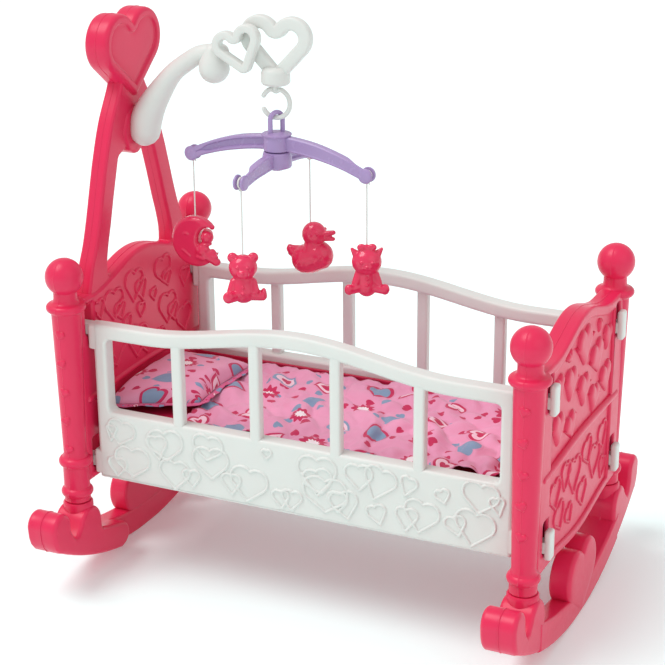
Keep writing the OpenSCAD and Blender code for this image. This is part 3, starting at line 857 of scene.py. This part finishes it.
def make_rocker(sign, name):
    """A rocker: the bow, a scrolled toe and a boot under each post, and a heart in the middle."""
    shape = Shape()
    inner_x = FRAME_X - ROCKER_T / 2
    bow = [(y, rock_z(y)) for y in range(-120, 121, 6)]
    bow += [(y, rock_z(y, ROCK_R - BOW_H)) for y in range(120, -121, -6)]
    shape.plate([bow], BOW_T, 3, across(sign * ROCKER_X))
    for side in (-1, 1):
        toe_z = rock_z(174)
        toe = arc((125, 57), 18, 180, 25, 14) + [(145, 60), (149, 55.6), (152, 54.6), (155, 57), (159.4, 66)]
        toe += arc((174, 74), 14, 178, 0, 14) + [(187, 64), (184.5, toe_z + 9), (180, toe_z + 3), (174, toe_z)]
        toe += [(y, rock_z(y)) for y in range(168, 106, -6)]
        upper = [(y, rock_z(y, ROCK_R - BOW_H)) for y in range(74, 105, 6)]
        centre = (71, rock_z(71, ROCK_R - BOW_H / 2))
        boot = toe + [(y, rock_z(y)) for y in range(102, 70, -6)]
        boot += arc(centre, 12.9, 262, 104, 12)[1:-1] + upper + [(106.4, 46.5)]
        half = ROCKER_T / 2 + 4
        toe, boot = ([(side * y, z) for y, z in line] for line in (toe + [(107, 40)], boot))
        shape.plate([toe], half, 4, across(sign * (inner_x + ROCKER_T - half / 2)))
        shape.plate([boot], half, 4, across(sign * (inner_x + half / 2)))
        shape.tube([(sign * (FRAME_X + 0.5), y, z) for y, z in toe[18:46]], 0.55, 8)
        collar = [(50, 13), (74, 14.4), (78, 14.3), (79.6, 13.2), (79.7, 8.2), (60, 8.1)]
        rings = [[(r * cos(t), r * sin(t), z) for t in range(0, 360, 8)] for z, r in collar]
        shape.loft(rings, Matrix.Translation((sign * FRAME_X, side * POST_Y, 0)))
    front = [
        (4, -9.4), (1.6, -9.3), (0.5, -8.4), (0, -7), (0, 7), (0.7, 9), (2.4, 10.6), (4.4, 11.3), (9, 11.6),
        (16, 11.7),
    ]
    shape.loft([
        [(y, max(z + 1, 0.2), depth * sign) for y, z in heart_ring(*EMBLEM, inset)] for inset, depth in front
    ], across(sign * ROCKER_X))
    shape.build(name + "_shell", "cradle", "pink_plastic", name)


# ---- Side panels and tray ----

# Hearts on the band, in outline: middle x, tip z, width, height, tilt
BAND_HEARTS = [
    (-182, 138, 29, 25, -12), (-193, 141, 11, 16, -6), (-171, 107, 38, 30, 0), (-188, 105, 20, 19, -5),
    (-134, 131, 38, 30, 6), (-143, 130, 22, 24, 8), (-125, 103, 32, 29, 0), (-107, 108, 18, 18, 4),
    (-89, 139, 31, 25, -5), (-86, 121, 37, 31, 3), (-28, 152, 10, 9, 0), (-47, 105, 38, 34, -7),
    (-65, 109, 20, 21, 3), (-14, 105, 17, 18, 6), (-3, 105, 20, 20, -4), (23, 125, 38, 38, 1),
    (24, 127, 29, 24, 14), (31, 110, 44, 34, 0), (43, 112, 20, 20, 0), (50, 107, 28, 27, 14),
    (64, 138, 27, 25, 3), (83, 131, 31, 33, -18), (111, 141, 16, 19, -16), (82, 108, 19, 19, 20),
    (110, 107, 21, 23, -3), (124, 108, 33, 31, -9), (144, 141, 14, 13, 20), (179, 138, 34, 29, -6),
    (195, 139, 14, 17, 14), (174, 105, 37, 34, -8), (157, 112, 20, 19, 20),
]


def rail_top(x):
    return RAIL_END_Z + RAIL_RISE * crest(x, 155)


def make_side_panel(side, name):
    """A slatted panel: band, stiles and rail in one, four slats, raised hearts, hooks and a ledge."""
    shape = Shape()
    xs = spaced(-PANEL_END, PANEL_END, 64)
    outline = rounded([(-PANEL_END, BAND_LOW)] + [(x, rail_top(x)) for x in xs] + [(PANEL_END, BAND_LOW)], 3)
    edge = PANEL_END - STILE_W
    xs = spaced(-edge, edge, 64)
    window = [(x, rail_top(x) - RAIL_H) for x in [-edge] + xs[4:-4] + [edge]]
    window = [(-edge, BAND_TOP)] + window + [(edge, BAND_TOP)]
    corners = [6, 6] + [0.5] * (len(window) - 4) + [6, 6]
    shape.plate([outline, rounded(window, corners)], PANEL_T, 3.2, along(side * PANEL_Y, side))
    pitch = 2 * (edge + SLAT_W / 2) / 5
    inset = 0.2
    for k in (-1.5, -0.5, 0.5, 1.5):
        x = k * pitch
        near, far = side * (PANEL_OUT - SLAT_T + inset), side * (PANEL_OUT - inset)
        shape.block((x - SLAT_W / 2, near, BAND_TOP - 4), (x + SLAT_W / 2, far, rail_top(x) - 9), 2.6)
    face = along(side * PANEL_OUT, side)
    shape.relief(ridges(BAND_HEARTS, 1.4, 1.4), (-204, 102), (204, 167), 0.7, face, 0.3)
    for end in (-1, 1):
        for low in HOOK_LOWS:
            # The hook's catch, its neck through the board and the thick corner it grows from
            shape.block((end * 236.3, side * 94.3, low), (end * 243, side * 105.7, low + 28), 2.4)
            shape.block((end * 202, side * 94.6, low + 6.2), (end * 238.5, side * 105.4, low + 17), 1)
            top = RAIL_END_Z - 0.4 if low > 200 else low + 25
            shape.block(
                (end * 200, side * 92.3, top - 25), (end * 213.6, side * (PANEL_OUT - 0.1), top), 2.6
            )
    shape.block((-180, side * 92.6, 138), (180, side * 86.9, 144), 1.2)
    shape.build(name + "_shell", "cradle", "white_plastic", name)


def make_tray():
    shape = Shape()
    shape.block((-213.6, -91.5, 144), (213.6, 91.5, FLOOR_Z), 1)
    for side in (-1, 1):
        shape.block((-213.6, side * 88.5, 146), (213.6, side * 91.5, 162), 1.2)
        shape.block((side * 210.6, -91, 146), (side * 213.6, 91, 162), 1.2)
    shape.build("bed_tray_shell", "cradle", "tray_plastic", "bed_tray")


# ---- Arm, heart rings and hook ----

AT_MOBILE = Matrix.Translation((MOBILE_X, 0, 0))
HOOK_R = 13.5


def make_arm():
    """The smooth S-shaped arm, its egg-shaped lower bulb, its peg and the acorn at its far end."""
    shape = Shape()
    stops = [
        (-206, ARM_Z, 15), (-203, 430, 15), (-193, 448, 12.6), (-174, 473, 9.2),
        (-156, 487, 8.6), (-142, 495, 8.2), (-122, 498, 8.2),
    ]
    path = smooth_path(stops, 8)
    shape.tube([(x, 0, z) for x, z, r in path], [r for x, z, r in path], 40)
    acorn = [(468.6, 1)] + [(483 - 14.5 * cos(t), 14.5 * sin(t)) for t in range(12, 91, 12)]
    acorn += [(487, 14.2), (491, 13), (495, 11.2), (499, 9.6), (502, 8), (504.5, 5.4), (505.6, 2)]
    shape.lathe(acorn, Matrix.Translation((-129, 0, 0)), 48)
    shape.tube([(x, 0, ARM_Z) for x in (-219.5, -212, -206)], 8, 32)
    shape.build("arm_shell", "cradle", "white_plastic", "mobile_arm")


def soft_band(a, r, h, band, thick, blunt):
    """A heart-shaped ring with a soft, nearly square section, as lofted rings of (u, v, depth)."""
    rings = []
    for t in range(0, 360, 15):
        across_band = math.copysign(abs(cos(t)) ** 0.45, cos(t))
        depth = math.copysign(abs(sin(t)) ** 0.45, sin(t)) * thick / 2
        inset = band / 2 - band / 2 * across_band
        rings.append([(u, v, depth) for u, v in heart_ring(a, r, h, inset, blunt)])
    return rings


def make_heart_rings():
    small = Shape()
    small.loft(
        soft_band(11.5, 13, 33, 8, 10, 7),
        along(-10) @ Matrix.Translation((-88.7, 480, 0)) @ turn(20), closed=True,
    )
    small.build("small_heart_shell", "cradle", "white_plastic", "small_heart_ring")
    large = Shape()
    place = Matrix.Translation((MOBILE_X + 1.5, 0, 471)) @ along(0)
    large.loft(soft_band(16, 19.5, 45, 12.5, 10, 4), place, closed=True)
    cup = [
        (472.6, 3.2), (472.5, 9), (472.8, 11.5), (474, 13), (476, 13.5), (484, 13.3), (487, 12), (488.8, 9.5),
        (489, 5),
    ]
    large.lathe(cup, AT_MOBILE, 56)
    large.build("large_heart_shell", "cradle", "white_plastic", "large_heart_ring")


def make_hook():
    """The open hook, pressed in at its top like a heart, on its stem."""
    shape = Shape()
    place = Matrix.Translation((MOBILE_X, 0, 455.5)) @ turn(5)
    turns = range(-152, 153, 4)
    radii = [HOOK_R - 2.6 * math.exp(-((t - 90) / 13) ** 2) for t in turns]
    shape.tube([(r * cos(t), 0, r * sin(t)) for t, r in zip(turns, radii)], WIRE_D / 2, 24, place)
    stem = [(466, 2.4), (467.4, 3), (475.6, 2.95), (476, 6), (479.1, 5.8)]
    shape.lathe(stem, AT_MOBILE, 32)
    shape.build("hook_shell", "hook", "white_plastic", "swivel_hook")


# ---- Mobile ----

BAR_H = 13


def bar_section(half, web, squeeze, open_side):
    """A bar's section: a deep channel on its open side, -1 or 1 in Y, and a lip along the other's foot."""
    deep = [(4, half - 1.3), (4, web + 0.8), (3.5, web + 0.2), (1, web - 0.8), (0.8, 0), (1, -web + 0.8),
            (3.5, -web - 0.2), (4, -web - 0.8), (4, -half + 1.3)]
    shut = [(4, half - 1.3), (3.8, half * 0.5), (3.7, half * 0.2), (3.6, 0), (3.6, -half * 0.25),
            (3.5, -half * 0.45), (3.5, -half + 2.4), (3.9, -half + 1.9), (4, -half + 1.2)]
    lines = {open_side: deep, -open_side: shut}
    ring = [(3.1, half - 0.2)] + lines[1] + [(3.1, -half + 0.2), (-3.1, -half + 0.2)]
    ring += [(-y, z) for y, z in lines[-1][::-1]] + [(-3.1, half - 0.2)]
    return [(-4 + (y + 4) * (1 - 0.66 * squeeze), z) for y, z in ring]


def make_bar(shape, size, mid_z, hand):
    """A drooping bar with a channel on one side of each arm, and a bobbin across each end."""
    reach, end_z, yaw = size
    place = AT_MOBILE @ turn(yaw)
    end = reach - 2
    rings = []
    for k in range(-40, 41):
        u = end * k / 40
        middle = mid_z - (mid_z - end_z) * (u / reach) ** 2
        half = (BAR_H + 1 - 3 * max(abs(k) / 40 - 0.45, 0) / 0.55) / 2
        near = min(max((abs(u) - reach + 22) / 14.5, 0), 1)
        squeeze = near * near * (3 - 2 * near)
        web = half * 0.44 * (1 - squeeze) + 0.4
        side = hand if k < 0 else -hand
        rings.append([(u, y, middle + z) for y, z in bar_section(half, web, squeeze, side)])
    shape.loft(rings, place)
    bobbin = [
        (-4.5, 2.5), (-4.3, 5.4), (-3.9, 6.5), (-3.2, 7), (-2, 7), (-1.5, 6.5), (-1.3, 4), (3.3, 4),
        (3.5, 6.4), (4, 7), (5.3, 7), (5.9, 6.3), (6.1, 4), (5.8, 3.2), (5.8, 1),
    ]
    for s in (-1, 1):
        shape.lathe(bobbin, place @ Matrix.Translation((s * reach, 0, end_z)) @ turn(-90, "X"), 36)


def make_mobile():
    long_bar = Shape()
    make_bar(long_bar, LONG_BAR, 419, -1)
    hub = [(411.2, 4.1), (411.3, 11), (412, 12.2), (413, 12.5), (424, 12.3), (425.3, 12.4), (425.5, 13.6),
           (426.2, 14), (427, 14), (427.6, 13.2), (427.7, 10), (428.8, 7.4), (429, 3)]
    long_bar.lathe(hub, AT_MOBILE, 56)
    half_w, bend_z = 6.75, 440.25
    leg = (424, 428, 432, 436)
    arch = [(-half_w, 0, z) for z in leg] + [(x, 0, z) for x, z in arc((0, bend_z), half_w, 180, 0, 18)]
    arch += [(half_w, 0, z) for z in leg[::-1]]
    long_bar.tube(arch, WIRE_D / 2, 24, AT_MOBILE @ turn(60))
    long_bar.build("long_bar_shell", "mobile", "purple_plastic", "long_bar")

    short_bar = Shape()
    make_bar(short_bar, SHORT_BAR, 403.5, 1)
    hub = [(395.1, 4.2), (395.1, 11), (395.8, 12.9), (397, 13.8), (405, 13.8), (408.6, 13.2), (410.2, 12.4),
           (410.8, 11), (410.8, 4.2)]
    short_bar.lathe(hub, AT_MOBILE, 56)
    short_bar.build("short_bar_shell", "short_bar", "purple_plastic", "short_bar")

    pin = Shape()
    head = [(392.8, 3), (393, 5.4), (393.6, 6.7), (394.4, 7), (394.8, 6.8)]
    pin.lathe(head + [(394.9, 3.9), (418, 3.9)], AT_MOBILE, 36)
    pin.build("hub_pin_shell", "mobile", "purple_plastic", "hub_pin")


def make_string_loop(who):
    """Two turns of string round the bobbin's neck, crossed into a knot with a short tail."""
    reach, z, yaw = LONG_BAR if who in ("moon", "cat") else SHORT_BAR
    end = -1 if who in ("moon", "bear") else 1
    shape = Shape()
    place = AT_MOBILE @ turn(yaw) @ Matrix.Translation((end * reach, 1, z))
    coil_r = 4.75
    path = [(coil_r * cos(t), y, coil_r * sin(t)) for t, y in zip(spaced(-90, 630, 72), spaced(-0.8, 0.8, 72))]
    shape.tube(path, STRING_D / 2, 10, place)
    knot = [
        (1.25 * sin(t) + 0.5 * sin(3 * t), 1.15 * sin(2 * t), -6.3 + cos(t)) for t in spaced(0, 360, 32)[:-1]
    ]
    shape.tube(knot, 0.72, 10, place, closed=True)
    shape.tube([(0.4, 0, -6.2), (1.6, 0.6, -7), (2.3, 0.8, -8.2)], 0.55, 8, place)
    return shape.build(f"{who}_knot", who, "string", f"{who}_loop")


def finish_strings():
    for who, thread in strings.items():
        thread.data.materials.append(THREAD)
        loop = make_string_loop(who)
        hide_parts(f"{who}_string")
        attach(thread, who)


# ---- Charms ----


def ball(spot, radius, stretch=(1, 1, 1)):
    return ("ball", spot, radius, stretch)


def limb(start, end, first, last):
    return ("limb", start, end, first, last)


def both(*parts):
    """The parts and their mirror images across the charm's middle."""
    out = []
    for part in parts:
        out.append(part)
        if part[0] == "ball":
            x, y, z = part[1]
            out.append(("ball", (-x, y, z), *part[2:]))
        else:
            (x, y, z), (u, v, w) = part[1:3]
            out.append(("limb", (-x, y, z), (-u, v, w), *part[3:]))
    return out


CHARMS = {
    "cat": (Matrix.Translation((26.4, -4.7, 284)) @ turn(25), [
        ball((0, 0, 33), 13.9, (1, 0.86, 0.93)), ball((0, -10.4, 30.6), 3.6, (1.4, 0.7, 0.8)),
        limb((0, 0, 9), (0, 0, 23), 9.4, 7.6), ball((0, -12.8, 31.6), 1.1), ball((0, -1.2, 46.8), 3.2),
        *both(
            limb((9.8, 0, 40.5), (13.6, 0, 45.2), 3.9, 1.6), limb((7, -1, 22), (10.2, -4.4, 14), 4.2, 3.9),
            limb((6, -2, 9.4), (14.6, -7.4, 8.6), 5.2, 4.4), ball((16.4, -8.6, 9), 4.9, (0.9, 0.9, 1.05)),
            ball((4.9, -2.4, 47.4), 3.7, (1.15, 0.75, 0.95)), ball((5.2, -11.4, 35.4), 1.3),
        ),
        ball((0, -9.6, 19), 1.3), ball((0, -10.2, 13.6), 1.3),
    ]),
    "bear": (Matrix.Translation((-71, -62.8, 282)) @ turn(25), [
        ball((0, 0, 34.2), 13.1, (1, 0.88, 0.92)), ball((0, -10.4, 31), 4.9, (1.2, 0.75, 0.86)),
        limb((0, 0, 12.6), (0, 0, 20.5), 12.2, 9.6), ball((0, -14, 32.6), 1.4), ball((4.8, -10.7, 37), 1.4),
        ball((-4.8, -10.7, 37), 1.4),
        *both(
            ball((9.4, 0, 43.6), 4.9, (1, 0.66, 1)), ball((9.4, -2.8, 43.6), 2.5, (1, 0.5, 1)),
            limb((8.6, -2, 21), (11.4, -6.6, 13), 3.9, 3.6),
        ),
        limb((6, -3, 9.4), (17, -4.8, 8.6), 5.8, 4.8), ball((18.6, -5, 10), 4.6, (0.6, 1, 1.3)),
        limb((-6, -5, 9.4), (-12.4, -12, 8.8), 5.8, 4.8), ball((-13.2, -13.2, 9.6), 5.2, (1, 0.6, 1.1)),
        ball((0, -12, 18.5), 1.4), ball((0, -12.4, 12.6), 1.4),
    ]),
    "duck": (Matrix.Translation((-63, 62.9, 273)), [
        ball((4, 0, 41), 12.2, (1, 0.94, 1)), limb((4, 0, 34), (4, 0, 24), 9.4, 12.6),
        limb((-5, 0, 15), (9.5, 0, 19.5), 14.6, 13.8), limb((-1, 0, 15.6), (9, 0, 20), 14.6, 14.2),
        limb((-6, 0, 16), (-21.5, 0, 23), 13.6, 4.4), limb((-20, 0, 20), (-22.6, 0, 25), 4.6, 2.6),
        limb((15, 0, 42), (24.6, 0, 45), 3.6, 2.3), limb((14, 0, 38.6), (24.4, 0, 38.4), 3.6, 2),
        *[ball((11.4, s * 9, 44.6), 2, (1, 0.7, 1)) for s in (-1, 1)],
        *[limb((10, s * 13.2, 16), (15, s * 12.2, 22), 1.3, 1.3) for s in (-1, 1)],
        *[limb((-9, s * 13.4, 12), (-5.6, s * 13.9, 17), 1.4, 1.4) for s in (-1, 1)],
    ]),
    # A crescent that opens towards +X, with a small sleeper in its lower half
    "moon": (Matrix.Translation((-158.3, 6.6, 311)), [
        ball((18, 0, 15.6), 2.6), ball((12.8, -1, 5.4), 6.4), ball((11.6, -1.6, -1.2), 5.4, (1.15, 1, 0.36)),
        ball((9, -3.4, -8), 7.2, (1, 0.8, 1)), ball((9.6, -8.6, -9), 1.5), ball((18.5, -1.6, -9), 3.4),
        limb((12, -2.4, -11.4), (20.8, -2, -17), 6, 4.3), ball((22.6, -2, -18.2), 4.3, (1, 1, 0.9)),
        limb((16, -4, -10), (23.8, -3.6, -12.6), 2.2, 1.8), limb((5, -7, -13.6), (11.6, -7.4, -14.6), 2, 1.8),
        ball((-8, -6, 8), 1.7, (1.5, 0.6, 0.7)), limb((-12, -5.8, -9), (-5, -5.8, -14), 1, 1),
    ]),
}


def add_limb(shape, start, end, first, last, n=20):
    """A tapered limb with round ends, as one closed tube."""
    path = [Vector(start).lerp(Vector(end), k / 3) for k in range(4)]
    shape.tube(path, [first + (last - first) * k / 3 for k in range(4)], n)


def add_ball(shape, spot, radius, stretch=(1, 1, 1), n=20):
    rings = []
    for k in range(1, 16):
        t = 180 * k / 16
        rings.append([
            (spot[0] + radius * stretch[0] * sin(t) * cos(360 * j / n),
             spot[1] + radius * stretch[1] * sin(t) * sin(360 * j / n),
             spot[2] - radius * stretch[2] * cos(t))
            for j in range(n)
        ])
    shape.loft(rings)


def melt(shape, who, place):
    """Fuses overlapping lumps into one moulded skin."""
    mesh = solid_mesh("lumps", [place @ p for p in shape.points], shape.faces)
    holder = bpy.data.objects.new("lumps", mesh)
    scene.collection.objects.link(holder)
    fuse = holder.modifiers.new("fuse", "REMESH")
    fuse.mode = "VOXEL"
    fuse.voxel_size = 0.7 * MM
    soften = holder.modifiers.new("soften", "SMOOTH")
    soften.factor = 0.5
    soften.iterations = 4
    skin = take_shape(holder)
    bpy.data.objects.remove(holder)
    place_mesh(skin, f"{who}_figure", who, "charm_plastic", f"{who}_charm", sharp=180)


def take_shape(obj):
    """The object's mesh with its modifiers applied, in world metres."""
    bpy.context.view_layer.update()
    graph = bpy.context.evaluated_depsgraph_get()
    return bpy.data.meshes.new_from_object(obj.evaluated_get(graph))


def crescent(radius, bite, away=(17, 2.5)):
    """A disc's outline with a round bite out of its +X side."""
    far, lean = math.hypot(*away), math.degrees(math.atan2(away[1], away[0]))
    half = math.degrees(math.acos((radius ** 2 + far ** 2 - bite ** 2) / (2 * radius * far)))
    outer = arc((0, 0), radius, lean + half, lean + 360 - half, 48)
    turns = [math.degrees(math.atan2(y - away[1], x - away[0])) % 360 for x, y in (outer[-1], outer[0])]
    return outer + arc(away, bite, turns[0], turns[1], 28)[1:-1]


def make_charms():
    for who, (place, parts) in CHARMS.items():
        shape = Shape()
        if who == "moon":
            for thick, cut in ((7, 0), (10, 1), (12, 2.6)):
                shape.plate([crescent(25 - cut, 13.2 + cut * 0.8)], thick, 0.5, along(0))
        for kind, *sizes in parts:
            {"ball": add_ball, "limb": add_limb}[kind](shape, *sizes)
        melt(shape, who, place)


# ---- Pillow and bedspread ----


PILLOW_SIZE = (84, 150)


def cloth_object(name, points, faces, flats):
    """A mesh in metres with its flat layout kept as UVs."""
    mesh = bpy.data.meshes.new(name)
    mesh.from_pydata([Vector(p) * MM for p in points], [], faces)
    layer = mesh.uv_layers.new(name="flat")
    for polygon in mesh.polygons:
        for corner in polygon.loop_indices:
            layer.data[corner].uv = Vector(flats[mesh.loops[corner].vertex_index]) * MM
    obj = bpy.data.objects.new(name, mesh)
    scene.collection.objects.link(obj)
    return obj


def run_cloth(obj, frames, **settings):
    """Adds cloth, runs it, and returns the last frame's mesh."""
    cloth = obj.modifiers.new("cloth", "CLOTH")
    for key, value in settings.items():
        holder = cloth.settings
        if key.startswith("collision__"):
            holder, key = cloth.collision_settings, key[11:]
        elif key.startswith("weight__"):
            holder, key = cloth.settings.effector_weights, key[8:]
        setattr(holder, key, value)
    cloth.point_cache.frame_start = 1
    cloth.point_cache.frame_end = frames
    scene.frame_start, scene.frame_end = 1, frames
    for k in range(1, frames + 1):
        scene.frame_set(k)
    return take_shape(obj)


def grid_faces(nx, ny, index):
    """The faces of a grid whose point i, j has the number index(i, j)."""
    return [
        (index(i, j), index(i + 1, j), index(i + 1, j + 1), index(i, j + 1))
        for i in range(nx) for j in range(ny)
    ]


def subdivide(obj):
    smooth = obj.modifiers.new("smooth", "SUBSURF")
    smooth.levels = smooth.render_levels = 1


def make_pillow():
    """Two layers sewn at their edge and blown up, laid on the tray, with a bound edge."""
    wide, long = PILLOW_SIZE
    nx, ny = 22, 38
    points, flats, index = [], [], {}
    for layer in (1, -1):
        for i in range(nx + 1):
            for j in range(ny + 1):
                rim = i in (0, nx) or j in (0, ny)
                if rim and (i, j, 1) in index:
                    index[i, j, -1] = index[i, j, 1]
                    continue
                u, v = wide * (i / nx - 0.5), long * (j / ny - 0.5)
                lump = 0 if rim else layer * (1.2 + 0.8 * noise.noise((u * 0.03, v * 0.03, layer)))
                index[i, j, layer] = len(points)
                points.append((u, v, lump))
                flats.append((u + 90, v + 400 if layer < 0 else v))
    faces = grid_faces(nx, ny, lambda i, j: index[i, j, 1])
    faces += [face[::-1] for face in grid_faces(nx, ny, lambda i, j: index[i, j, -1])]
    obj = cloth_object("pillow_raw", points, faces, flats)
    mesh = run_cloth(
        obj, 24, quality=8, mass=0.0006, use_pressure=True, uniform_pressure_force=3.2,
        tension_stiffness=18, compression_stiffness=18, shear_stiffness=8, bending_stiffness=0.02,
        air_damping=4, weight__gravity=0.0,
    )
    bpy.data.objects.remove(obj)
    heights = [v.co.z for v in mesh.vertices]
    rise = 27 * MM / max(max(heights), 0.001)
    middle = Vector((-172, -13, FLOOR_Z + 10)) * MM
    for v in mesh.vertices:
        # The underside settles flat on the tray and the top keeps its full curve
        z = v.co.z * (rise * 0.72 if v.co.z > 0 else 0.45)
        ripple = 1.4 * MM * noise.noise(Vector((v.co.x * 38, v.co.y * 38, 2)))
        skew = max(-v.co.y / (long * MM), 0) * (v.co.x + wide / 2 * MM)
        v.co = middle + Vector((v.co.x, v.co.y + skew, z + (ripple if v.co.z > 0 else 0)))
        v.co.z = max(v.co.z, (FLOOR_Z + 0.5) * MM)
        v.co.x = min(max(v.co.x, -0.2125), -0.1)
    rim = [index[i, 0, 1] for i in range(nx)] + [index[nx, j, 1] for j in range(ny)]
    rim += [index[i, ny, 1] for i in range(nx, 0, -1)] + [index[0, j, 1] for j in range(ny, 0, -1)]
    seam = [mesh.vertices[k].co / MM for k in rim]
    pillow = place_mesh(mesh, "pillow_case", "cradle", "pillow_fabric", "pillow", sharp=180)
    subdivide(pillow)
    bind(seam)


def bind(seam):
    """The pillow's flat, slightly wavy edge, a closed strip along its seam."""
    edge, flats, faces = [], [], []
    n = len(seam)
    centre = sum(seam, Vector()) / n
    run = 0.0
    for k, spot in enumerate(seam):
        ahead, behind = seam[(k + 1) % n], seam[k - 1]
        out = (ahead - behind).cross(Vector((0, 0, 1))).normalized()
        if out.dot(spot - centre) < 0:
            out = -out
        wave = 0.9 * math.sin(k * 0.9) + 0.6 * math.sin(k * 2.3)
        run += (ahead - spot).length
        for reach, lift in ((-1.2, 0.7), (3, 0.75), (5.4, 0.5), (5.4, -0.5), (3, -0.6), (-1.2, -0.6)):
            corner = spot + out * reach + Vector((0, 0, lift + (wave * max(reach, 0) / 5.4)))
            corner.z = max(corner.z, FLOOR_Z + 0.3)
            corner.x = max(corner.x, -212.8)
            edge.append(corner)
            flats.append((run + 40, 300 + reach))
    for k in range(n):
        for j in range(6):
            a, b = k * 6, (k + 1) % n * 6
            faces.append((a + j, a + (j + 1) % 6, b + (j + 1) % 6, b + j))
    obj = cloth_object("pillow_edge", edge, faces, flats)
    mesh = obj.data
    bpy.data.objects.remove(obj)
    binding = place_mesh(
        mesh, "pillow_binding", "cradle", "pillow_fabric", "pillow", sharp=60, material=BINDING_CLOTH
    )
    subdivide(binding)


def make_bedspread():
    """A printed sheet a little larger than the bed, dropped into the tray so that it creases."""
    low, high = Vector((-139, -86)), Vector((208, 86))
    step = 4.2
    nx, ny = int((high.x - low.x) / step), int((high.y - low.y) / step)
    grow = 1.05
    points, flats = [], []
    for i in range(nx + 1):
        for j in range(ny + 1):
            x, y = low.x + (high.x - low.x) * i / nx, low.y + (high.y - low.y) * j / ny
            lean = x * 0.8 + y * 0.6
            swell = noise.noise(Vector((lean * 0.034, (y - x) * 0.011, 5.1)))
            swell += 0.35 * noise.noise(Vector((x * 0.06, y * 0.05, 1)))
            fade = min(1, (x - low.x + 4) / 26)
            points.append((x, y, FLOOR_Z + 3.4 + 15 * abs(swell) * fade))
            flats.append(((x - low.x) * grow, (y - low.y) * grow))
    obj = cloth_object("spread_raw", points, grid_faces(nx, ny, lambda i, j: i * (ny + 1) + j), flats)
    tray = Shape()
    tray.block((-230, -110, 120), (230, 110, FLOOR_Z), 2)
    for side in (-1, 1):
        tray.block((-230, side * 88.2, 120), (230, side * 120, 220), 1)
    tray.block((209.6, -110, 120), (240, 110, 220), 1)
    ground = bpy.data.objects.new("cloth_floor", solid_mesh("cloth_floor", tray.points, tray.faces))
    scene.collection.objects.link(ground)
    ground.modifiers.new("collision", "COLLISION")
    ground.collision.thickness_outer = 0.0004
    ground.collision.cloth_friction = 12
    mesh = run_cloth(
        obj, 34, quality=7, mass=0.0012, tension_stiffness=14, compression_stiffness=14, shear_stiffness=6,
        bending_stiffness=0.012, air_damping=2, shrink_min=-0.05,
        collision__distance_min=0.0006, collision__collision_quality=3,
    )
    bpy.data.objects.remove(obj)
    bpy.data.objects.remove(ground)
    for v in mesh.vertices:
        v.co.z = min(max(v.co.z, (FLOOR_Z + 0.3) * MM), (FLOOR_Z + 16) * MM)
    spread = place_mesh(mesh, "bed_cover", "cradle", "spread_fabric", "bedspread", sharp=180)
    subdivide(spread)
    thick = spread.modifiers.new("thickness", "SOLIDIFY")
    thick.thickness = 0.0009
    thick.offset = 1


# ---- Surroundings ----


def make_floor():
    """A wide pale floor that runs out to the white around it."""
    material, tree, shader = new_material("floor")
    place = put(tree, "TexCoord").outputs["Object"]
    cloud = put(tree, "TexNoise", {"Vector": place, "Scale": 3.0, "Detail": 2.0}).outputs["Fac"]
    fill(tree, shader, {
        "Base Color": blend(tree, cloud, linear(234, 253, 251), linear(237, 254, 253)), "Roughness": 0.85,
        "Emission Color": (0.93, 1.0, 1.0, 1), "Emission Strength": 0.15,
    })
    mesh = bpy.data.meshes.new("floor")
    half, low = 12, -0.0004
    corners = [(-half, -half, low), (half, -half, low), (half, half, low), (-half, half, low)]
    mesh.from_pydata(corners, [], [(0, 1, 2, 3)])
    floor = bpy.data.objects.new("floor", mesh)
    mesh.materials.append(material)
    scene.collection.objects.link(floor)


def sun(name, comes_from, strength, softness):
    """Light from far away; comes_from is the way towards it."""
    light = bpy.data.lights.new(name, "SUN")
    light.energy = strength
    light.angle = math.radians(softness)
    obj = bpy.data.objects.new(name, light)
    obj.rotation_mode = "QUATERNION"
    obj.rotation_quaternion = (-Vector(comes_from)).to_track_quat("-Z", "Y")
    scene.collection.objects.link(obj)


def light_scene():
    """Even white light all round, a soft key from the upper front left and a weak fill from the right."""
    world = bpy.data.worlds.new("white")
    scene.world = world
    world.use_nodes = True
    back = world.node_tree.nodes["Background"]
    fill(world.node_tree, back, {"Color": (1, 1, 1, 1), "Strength": 0.68})
    sun("key", (-0.38, -0.3, 0.88), 1.5, 36)
    sun("fill", (0.8, -0.35, 0.5), 0.25, 50)
    scene.view_settings.view_transform = "Standard"
    scene.view_settings.look = "None"


make_footboard()
make_headboard()
make_rocker(1, "foot_rocker")
make_rocker(-1, "head_rocker")
make_side_panel(-1, "front_side_panel")
make_side_panel(1, "rear_side_panel")
make_tray()
make_arm()
make_heart_rings()
make_hook()
make_mobile()
finish_strings()
make_charms()
make_pillow()
make_bedspread()
make_floor()
light_scene()
